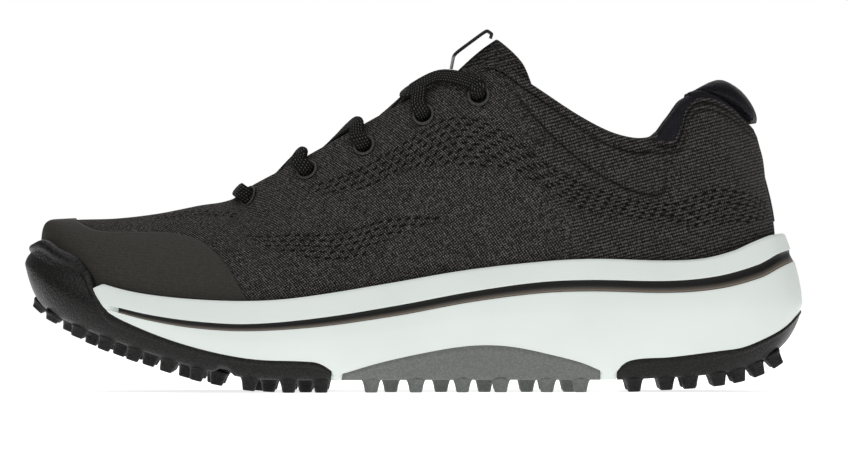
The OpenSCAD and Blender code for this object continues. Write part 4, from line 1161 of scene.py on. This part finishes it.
def roll(w, half, tall, depth, lift, t=1.0):
    """Rings of a rounded tape along the top line."""
    up = unit(skin(w, t) - skin(w, t - 0.02))
    out = skin_out(w, t)
    middle = skin(w, t) - depth[:, None] * out + lift * up
    a = np.linspace(0, 2 * np.pi, 16, endpoint=False)
    ring = (middle[:, None] + half[:, None, None] * np.cos(a)[None, :, None] * out[:, None]
            + tall * np.sin(a)[None, :, None] * up[:, None])
    return ring[:, ::-1] if w[0] < 0 else ring


def wrapping_roll(w, tall):
    """A roll as thick as the whole edge of the upper."""
    deep = inside_depth(w, 1)
    return roll(w, (deep + 1.0) / 2, tall, deep / 2, 0.2)


def back_seam_tape():
    t = np.linspace(0.24, 0.97, 60)
    w = fold(HEEL + np.linspace(-0.055, 0.055, 7))
    wide, tall = lattice(w, t)
    crown = 0.22 + 0.25 * np.sin(np.linspace(0, np.pi, 7))[:, None] + 0 * tall
    points, faces = shell(under(wide, tall, -crown), under(wide, tall, 0 * tall + SUNK))
    add_mesh("back_seam_tape", points, faces, "film", "film")


# ---- Heel pillow ----------------------------------------------------------------------------------

pillow_centre = Curve([
    [10.4, [91.8, -27.4, 99.6]], [10.67, [95.4, -26.4, 103.9]], [11.3, [103.5, -22.3, 107.6]],
    [12, [111, -14.5, 107]], [12.5, [114.6, -7.8, 104.4]], [13, [115.7, 0, 103]],
])
pillow_half_height = Curve([[10.4, 1.2], [10.67, 1.6], [11.3, 3], [12, 6.8], [12.5, 9.6], [13, 10.4]])
pillow_half_thick = Curve([[10.4, 1.8], [10.67, 2.1], [11.3, 2.8], [12, 4.6], [12.5, 5.5], [13, 5.7]])
PILLOW_LEAN = math.radians(38)
PILLOW_LIFT = 1.3
PILLOW_HANG = 3.0
PILLOW_ROOM = 0.6  # left free for the cloth to swell into


def pillow_rings():
    v = np.linspace(10.4, 2 * HEEL - 10.4, 90)
    w = fold(v)
    u = np.abs(w)
    middle = pillow_centre(u)
    middle[:, 1] = np.where(w <= 0, middle[:, 1], 2 * ridge_y(u) - middle[:, 1])
    middle += ease((u - 11.8) / 1.2)[:, None] * np.array([1.0, 0, -1.0])
    flat = outline_out(w)
    out = np.concatenate([flat, np.zeros((len(w), 1))], 1)
    tall = math.cos(PILLOW_LEAN) * UP - math.sin(PILLOW_LEAN) * out
    wide = math.sin(PILLOW_LEAN) * UP + math.cos(PILLOW_LEAN) * out
    top, up = skin(w, 1 + 0 * w), unit(skin(w, 1 + 0 * w) - skin(w, 0.98 + 0 * w))
    a = np.linspace(0, 2 * np.pi, 36, endpoint=False)
    half_thick = pillow_half_thick(u) - PILLOW_ROOM
    half_height = pillow_half_height(u) - PILLOW_ROOM
    p = (middle[:, None] + half_thick[:, None, None] * np.cos(a)[None, :, None] * wide[:, None]
         + half_height[:, None, None] * np.sin(a)[None, :, None] * tall[:, None])
    beyond = np.sum((p - top[:, None]) * out[:, None], -1)
    lift = PILLOW_LIFT + PILLOW_ROOM - PILLOW_HANG * ease((beyond - 1.9) / 1.4)
    low = np.maximum(0, lift - np.sum((p - top[:, None]) * up[:, None], -1))
    return p + low[..., None] * up[:, None]


PRESSURE = 4.0
LAST_FRAME = 20


def simulate(piece, cap, voxel=None):
    """Inflates a padded piece as cloth and keeps the result, with no point moved beyond cap, in
    millimetres."""
    bpy.context.view_layer.objects.active = piece
    if voxel:
        remesh = piece.modifiers.new("even", "REMESH")
        remesh.mode = "VOXEL"
        remesh.voxel_size = voxel * MM
        bpy.ops.object.modifier_apply(modifier=remesh.name)
    before = np.zeros(len(piece.data.vertices) * 3)
    piece.data.vertices.foreach_get("co", before)
    cloth = piece.modifiers.new("cloth", "CLOTH")
    cloth.settings.use_pressure = True
    cloth.settings.uniform_pressure_force = PRESSURE
    cloth.settings.effector_weights.gravity = 0
    cloth.settings.tension_stiffness = 40
    cloth.settings.bending_stiffness = 2
    scene = bpy.context.scene
    for number in range(1, LAST_FRAME + 1):
        scene.frame_set(number)
    evaluated = piece.evaluated_get(bpy.context.evaluated_depsgraph_get())
    after = np.zeros(len(evaluated.data.vertices) * 3)
    evaluated.data.vertices.foreach_get("co", after)
    piece.modifiers.remove(cloth)
    scene.frame_set(1)
    move = (after - before).reshape(-1, 3)
    far = np.linalg.norm(move, axis=1, keepdims=True)
    move *= np.minimum(1, cap * MM / np.maximum(far, 1e-9))
    piece.data.vertices.foreach_set("co", (before.reshape(-1, 3) + move).reshape(-1))
    piece.data.update()


def subdivide(piece):
    bpy.context.view_layer.objects.active = piece
    step = piece.modifiers.new("smooth", "SUBSURF")
    step.levels = step.render_levels = 1
    bpy.ops.object.modifier_apply(modifier=step.name)
    piece.data.shade_smooth()


def heel_pillow():
    piece = add_mesh("heel_pillow", *tube(pillow_rings()), "pillow", "pillow_cloth")
    simulate(piece, 0.7, voxel=1.1)
    subdivide(piece)


# ---- Tongue ---------------------------------------------------------------------------------------

ARCH_SHARE, ARCH_FULLNESS, FLAP_OVERLAP = 0.6, 0.22, 0.22
TONGUE_START, TONGUE_END, TONGUE_DEPTH, NECK_START = 5.2, 9.0, 7, 7.2
TONGUE_FOAM = 3.6
tongue_neck = Curve([
    [-1, [29.8, -21.4, 104]], [-0.6, [27.5, -17, 114.5]], [0, [20.5, -1.5, 121]],
    [0.6, [27.5, 14.5, 114.5]], [1, [30.3, 19.6, 103.5]],
])
tongue_tip = Curve([
    [-1, [44, -18, 107.5]], [-0.6, [39, -14.5, 119]], [0, [29.8, -1.5, 127.8]],
    [0.6, [39, 11.5, 119]], [1, [44, 15, 107.5]],
])


def arch(u, s):
    u, s = alike(u, s)
    one = np.ones_like(u)
    a, b = skin(-u, one), skin(u, one)
    h = ARCH_FULLNESS * np.linalg.norm(b - a, axis=-1)[..., None]
    ta, tb = unit(a - skin(-u, 0.97 * one)), unit(b - skin(u, 0.97 * one))
    return bezier(a, a + h * ta, b + h * tb, b, s[..., None])


def throat_line(u, v):
    u, v = alike(u, v)
    middle = arch(u, 0.5 + 0.5 * np.clip(v / ARCH_SHARE, -1, 1))
    past = np.clip(np.abs(v) - ARCH_SHARE, 0, 1)
    flap = skin(np.where(v < 0, -u, u), 1 - FLAP_OVERLAP * past / (1 - ARCH_SHARE))
    return np.where((np.abs(v) <= ARCH_SHARE)[..., None], middle, flap)


def throat_in(u, v):
    across = throat_line(u, v + 0.02) - throat_line(u, v - 0.02)
    along = throat_line(u + 0.03, v) - throat_line(u - 0.03, v)
    return unit(np.cross(across, along))


def tongue_base(u, v):
    return throat_line(u, v) + TONGUE_DEPTH * throat_in(u, np.clip(v, -0.97, 0.97))


def tongue_at(u, v):
    u, v = alike(u, v)
    base = tongue_base(np.minimum(u, NECK_START), v)
    knots = [(NECK_START - 0.4, tongue_base(NECK_START - 0.4 + 0 * u, v)),
             (NECK_START, tongue_base(NECK_START + 0 * u, v)), (8.0, tongue_neck(v)),
             (TONGUE_END, tongue_tip(v))]
    keys = np.array([k for k, _ in knots])
    points = np.stack([p for _, p in knots])
    ends = [(0, 1), (0, 2), (1, 3), (2, 3)]
    slopes = np.stack([(points[b] - points[a]) / (keys[b] - keys[a]) for a, b in ends])
    result = base.copy()
    for i in range(1, 3):
        h = keys[i + 1] - keys[i]
        t = np.clip((u - keys[i]) / h, 0, 1)[..., None]
        piece = hermite(points[i], points[i + 1], slopes[i], slopes[i + 1], h, t)
        result = np.where(((u > keys[i]) & (u <= keys[i + 1] + 1e-6))[..., None], piece, result)
    return result


def tongue_in(u, v):
    across = tongue_at(u, np.minimum(v + 0.03, 1)) - tongue_at(u, np.maximum(v - 0.03, -1))
    along = tongue_at(np.minimum(u + 0.04, TONGUE_END), v) - tongue_at(u - 0.04, v)
    return unit(np.cross(across, along))


def tongue_grid(depth_full, depth_edge):
    us = np.concatenate([np.linspace(TONGUE_START, 8.8, 84), np.linspace(8.82, TONGUE_END, 16)])
    vs = np.linspace(1, -1, 61)
    u, v = lattice(us, vs)
    left = np.clip((TONGUE_END - u) / 0.14, 0, 1)
    rounded = np.sqrt(np.clip(1 - (1 - left) ** 2, 0, 1))
    cover = (1 - v ** 4) * ease((u - TONGUE_START) / 0.7) * rounded
    edge = mix(2.2, depth_edge, rounded)
    return u, v, tongue_at(u, v) + mix(edge, depth_full, cover)[..., None] * tongue_in(u, v)


def tongue():
    """The padded tongue: its knitted face runs over the foam and round the edge."""
    u, v, outer = tongue_grid(0.35, 0.5)
    _, _, inner = tongue_grid(1.1 + TONGUE_FOAM, 1.7)
    points, faces = shell(outer, inner)
    here = window(u, 7.6, 7.8, 8.85, 8.95) * (np.abs(v) < 0.93)
    values = shell_values(("cover",), row=v * 9.0, along=u * 6.4, cover=here, ribs=1 + 0 * u)
    face = add_mesh("tongue_face", points, faces, "knit", "knit", ["tongue_face", "tongue_foam"],
                    "tongue", values)
    simulate(face, 0.35)
    _, _, top = tongue_grid(1.15 + TONGUE_FOAM, 1.75)
    _, _, low = tongue_grid(1.8 + TONGUE_FOAM, 2.4)
    points, faces = shell(top, low)
    add_mesh("tongue_lining", points, faces, "lining", "lining", body="tongue")


KEEPER_LINE = np.array([[13.2, 116.4], [14.2, 121.6], [26, 130.3], [27.9, 129], [27.4, 127.4]])


def lace_keeper():
    """Ribbon loop that stands proud of the tongue's top, with rounded bends."""
    dense = []
    for i in range(len(KEEPER_LINE) - 1):
        for t in np.linspace(0, 1, 14, endpoint=False):
            dense.append(mix(KEEPER_LINE[i], KEEPER_LINE[i + 1], t))
    line = np.array(dense + [KEEPER_LINE[-1]])
    for _ in range(6):
        line[1:-1] = 0.25 * line[:-2] + 0.5 * line[1:-1] + 0.25 * line[2:]
    along = unit(np.gradient(line, axis=0))
    side = np.stack([along[:, 1], -along[:, 0]], 1)
    ys = np.linspace(5, -8, 27)
    edge = 0.25 + 0.35 * (1 - np.abs(np.linspace(-1, 1, 27)) ** 6)
    outer, inner = [np.array([[[p[0] + e * n[0], y, p[1] + e * n[1]] for y, e in zip(ys, sign * edge)]
                              for p, n in zip(line, side)]) for sign in (-1, 1)]
    points, faces = shell(outer, inner)
    pale = 1 - ease((points[:, 2] - 120) / 1.5)
    add_mesh("lace_keeper", points, faces, "ribbon", "ribbon", body="tongue", values={"pale": pale})


# ---- Lace -----------------------------------------------------------------------------------------

LACE_OVER, LACE_INSIDE = 2.0, 5.2
LACE_CROSS = [3.9, 5.8]
LAST_CROSS_LIFT = 3.2
LACE_WIDTH, LACE_THICK = 5.4, 1.6
LACE_AT_EDGE, EDGE_CLEAR = 1.9, 1.2
LACE_IN_HOLE, LACE_TILT = 1.2, 0.4
# Where a run leaves the flap, crosses the middle, lies on the other flap and lands there, as shares
# of the way from its eyelet to the next. The last run crosses and lands earlier.
LEAVE_SHARE, LIE_SHARE = 0.35, 0.45
CROSS_SHARE, LAST_CROSS_SHARE = 0.5, 0.05
LAND_SHARE, LAST_LAND_SHARE = 1.06, -0.1
LAST_RUN = 3


def to_edge(w, t):
    return unit(skin(w, min(t + 0.04, 1)) - skin(w, t - 0.04))


def landing(w, t, reach, turn=1):
    """The last two knots before the lace goes down into an eyelet."""
    return [
        [under(w, t, -LACE_OVER - LACE_TILT) + reach * to_edge(w, t), turn * skin_out(w, t)],
        [under(w, t, LACE_TILT - LACE_OVER) + 1.6 * to_edge(w, t),
         turn * unit(skin_out(w, t) - to_edge(w, t))],
    ]


def lace_run(k, side, turn):
    """Knots [point, direction faced] from an eyelet across to the next one on the other side."""
    last = k == LAST_RUN
    (here, ta), (there, tb) = EYELETS[k], EYELETS[k + 1]
    a, b = side * here, -side * there
    leave = side * mix(here, there, LEAVE_SHARE)
    land = -side * mix(here, there, LAST_LAND_SHARE if last else LAND_SHARE)
    lie = -side * mix(here, there, LIE_SHARE)
    middle = mix(here, there, LAST_CROSS_SHARE if last else CROSS_SHARE)
    level = (k + (1 if side > 0 else 0)) % 2
    depth = LACE_CROSS[level] - (LAST_CROSS_LIFT if last else 0)
    knots = [
        [under(a, ta, LACE_IN_HOLE), -turn * to_edge(a, ta)],
        [under(a, ta, LACE_INSIDE - 1) + 0.5 * to_edge(a, ta),
         -turn * unit(skin_out(a, ta) + to_edge(a, ta))],
        [under(leave, 0.97, LACE_INSIDE), -turn * skin_out(leave, 0.97)],
        [under(leave, 1.0, LACE_INSIDE) + to_edge(leave, 0.96), -turn * skin_out(leave, 0.97)],
        [arch(middle, 0.5) + depth * throat_in(middle, 0.0), turn * throat_in(middle, 0.0)],
        [under(land, 1.0, -LACE_AT_EDGE) + EDGE_CLEAR * to_edge(land, 0.96),
         -turn * skin_out(land, 0.98)],
    ]
    if last:
        knots.append([under(lie, 0.98, -LACE_OVER - LACE_TILT) + EDGE_CLEAR * to_edge(lie, 0.96),
                      -turn * skin_out(lie, 0.98)])
    return knots + landing(b, tb, 4.2, -turn)


LACE_TAIL = [[7.72, 0.7], [7.6, 0.61], [7.5, 0.52]]


def lace_tail(side, turn):
    w, t = side * EYELETS[-1][0], EYELETS[-1][1]
    knots = [
        [under(w, t, LACE_IN_HOLE), turn * to_edge(w, t)],
        [under(w, t, LACE_INSIDE - 1) - 0.7 * to_edge(w, t), -turn * unit(skin_out(w, t) - to_edge(w, t))],
    ]
    return knots + [[under(side * u, h, LACE_INSIDE + 0.3), -turn * skin_out(side * u, h)]
                    for u, h in LACE_TAIL]


def strand(side):
    """Half of the lace, from the first eyelet to its end."""
    return (lace_run(0, side, 1) + lace_run(1, -side, -1) + lace_run(2, side, 1)
            + lace_run(LAST_RUN, -side, -1) + lace_tail(side, 1))


def lace():
    first, height = EYELETS[0]
    bar = [*landing(-first, height, 4)[::-1],
           [arch(first, 0.5) - 1.4 * throat_in(first, 0.0), -throat_in(first, 0.0)],
           *landing(first, height, 4)]
    knots = strand(-1)[::-1] + bar + strand(1)
    places = np.array([k[0] for k in knots])
    facing = np.array([k[1] for k in knots])

    def smooth(table, i, t):
        return catmull(*[table[np.clip(i + k, 0, len(table) - 1)] for k in (-1, 0, 1, 2)], t[:, None])

    steps = 9
    count = (len(knots) - 1) * steps
    i = np.minimum(np.arange(count + 1) // steps, len(knots) - 2)
    t = np.arange(count + 1) / steps - i
    p = smooth(places, i, t)
    travel = unit(smooth(places, i, np.minimum(t + 0.02, 1)) - smooth(places, i, np.maximum(t - 0.02, 0)))
    wide = unit(np.cross(travel, smooth(facing, i, t)))
    flat = np.cross(wide, travel)
    sides = 36
    a = np.linspace(0, 2 * np.pi, sides, endpoint=False) + 0.01
    shape_x = np.sign(np.cos(a)) * np.abs(np.cos(a)) ** 0.8
    shape_y = np.sign(np.sin(a)) * np.abs(np.sin(a)) ** 0.8
    ridge = 1 + 0.05 * np.cos(a * 12)
    rings = (p[:, None] + LACE_WIDTH / 2 * (shape_x * ridge)[None, :, None] * wide[:, None]
             - LACE_THICK / 2 * (shape_y * ridge)[None, :, None] * flat[:, None])
    along = np.repeat(run_length(p), sides)
    side = np.tile(shape_x, len(p))
    points, faces = tube(rings)
    add_mesh("lace", points, faces, "lace", "lace", values={"along": along, "side": side})


# ---- Footbed --------------------------------------------------------------------------------------


STROBEL, FOOTBED, COVER_GAP, COVER_INSET = 1.8, 4.5, 0.1, 6.6


def footbed_cover():
    """Cloth over the footbed, dished under the heel."""
    us = np.linspace(0, HEEL, 160)
    vs = np.linspace(0, 1, 40)
    a, b = [inside_edge(w, upper_inset(plan_x(w)) + COVER_INSET,
                        platform_z(w) + STROBEL + FOOTBED + COVER_GAP) for w in (-us, us)]
    grid = mix(a[:, None], b[:, None], vs[None, :, None])
    middle = 1 - (2 * vs - 1) ** 4
    lift = 1.2 - 0.5 * (middle[None, :] * window(us, 9, 10.5, 12.2, 13)[:, None])
    top = grid + UP * lift[..., None]
    points, faces = shell(grid[:, ::-1], top[:, ::-1])
    add_mesh("footbed_cover", points, [f[::-1] for f in faces], "lining", "lining", body="footbed")


# ---- Carried-over CAD nodes -----------------------------------------------------------------------

CARRIED = {
    "toe_puff": "board", "heel_counter": "board", "eyestay_medial": "board",
    "eyestay_lateral": "board", "collar_foam": "foam", "aglets": "plastic",
    "strobel_board": "board", "footbed": "foam",
}


def dress_carried_nodes():
    for node, look in CARRIED.items():
        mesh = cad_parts[node].data
        mesh.materials.clear()
        mesh.materials.append(LOOKS[look])


# ---- Studio ---------------------------------------------------------------------------------------

CAMERA_DISTANCE = 4.0
SENSOR = 36
VIEW_WIDTH = 0.3064
VIEW_CENTRE = (0.0034, 0.0593)


def studio():
    # White as seen directly, dimmer as a light, so the lamps give the shape.
    world = bpy.data.worlds.new("studio")
    world.use_nodes = True
    tree = world.node_tree
    light = tree.nodes["Background"]
    light.inputs["Color"].default_value = (1, 1, 1, 1)
    light.inputs["Strength"].default_value = 0.25
    seen = tree.nodes.new("ShaderNodeBackground")
    seen.inputs["Color"].default_value = (1, 1, 1, 1)
    choice = tree.nodes.new("ShaderNodeMixShader")
    tree.links.new(tree.nodes.new("ShaderNodeLightPath").outputs["Is Camera Ray"], choice.inputs[0])
    tree.links.new(light.outputs[0], choice.inputs[1])
    tree.links.new(seen.outputs[0], choice.inputs[2])
    tree.links.new(choice.outputs[0], tree.nodes["World Output"].inputs["Surface"])
    bpy.context.scene.world = world
    bpy.context.scene.view_settings.view_transform = "Standard"

    camera_data = bpy.data.cameras.new("camera")
    camera_data.sensor_width = SENSOR
    camera_data.lens = SENSOR * CAMERA_DISTANCE / VIEW_WIDTH
    camera_data.clip_end = 50
    camera = linked("camera", camera_data)
    camera.location = (VIEW_CENTRE[0], -CAMERA_DISTANCE, VIEW_CENTRE[1])
    camera.rotation_euler = (math.radians(90), 0, 0)
    bpy.context.scene.camera = camera

    for name, place, size, power in (
        ("key", (-0.5, -1.3, 1.5), 1.1, 11.7),
        ("fill", (1.1, -1.4, 0.5), 1.4, 3.6),
        ("top", (0.0, 0.1, 1.8), 1.6, 11.7),
        ("rear", (0.2, 1.4, 0.9), 1.4, 5.5),
    ):
        data = bpy.data.lights.new(name, "AREA")
        data.size = size
        data.energy = power
        lamp = linked(name, data)
        lamp.location = place
        aim = np.array([0, 0, 0.05]) - np.array(place)
        lamp.rotation_euler = (
            math.atan2(math.hypot(aim[0], aim[1]), -aim[2]), 0, math.atan2(aim[1], aim[0]) - math.pi / 2)

    look = Look("floor", (0.93, 0.93, 0.93), 0.9, specular=0.1)
    look.colour(look.ramp(look.noise(400.0), (0.3, [0.925] * 3), (0.7, [0.945] * 3)))
    look.shader.inputs["Emission Color"].default_value = (1, 1, 1, 1)
    look.shader.inputs["Emission Strength"].default_value = 0.8
    steps = np.linspace(-6.0, 6.0, 25)
    points = [[x, y, 0] for x in steps for y in steps]
    mesh = bpy.data.meshes.new("floor")
    mesh.from_pydata(points, [], sheet_faces(len(steps), len(steps)))
    mesh.materials.append(look.material)
    mesh.shade_smooth()
    floor = linked("floor", mesh)


studio()
midsole()
channel_inlay()
outsoles()
knit_upper()
lining()
toe_guard()
eyelets()
collar_binding()
back_seam_tape()
heel_pillow()
tongue()
lace_keeper()
lace()
footbed_cover()
dress_carried_nodes()
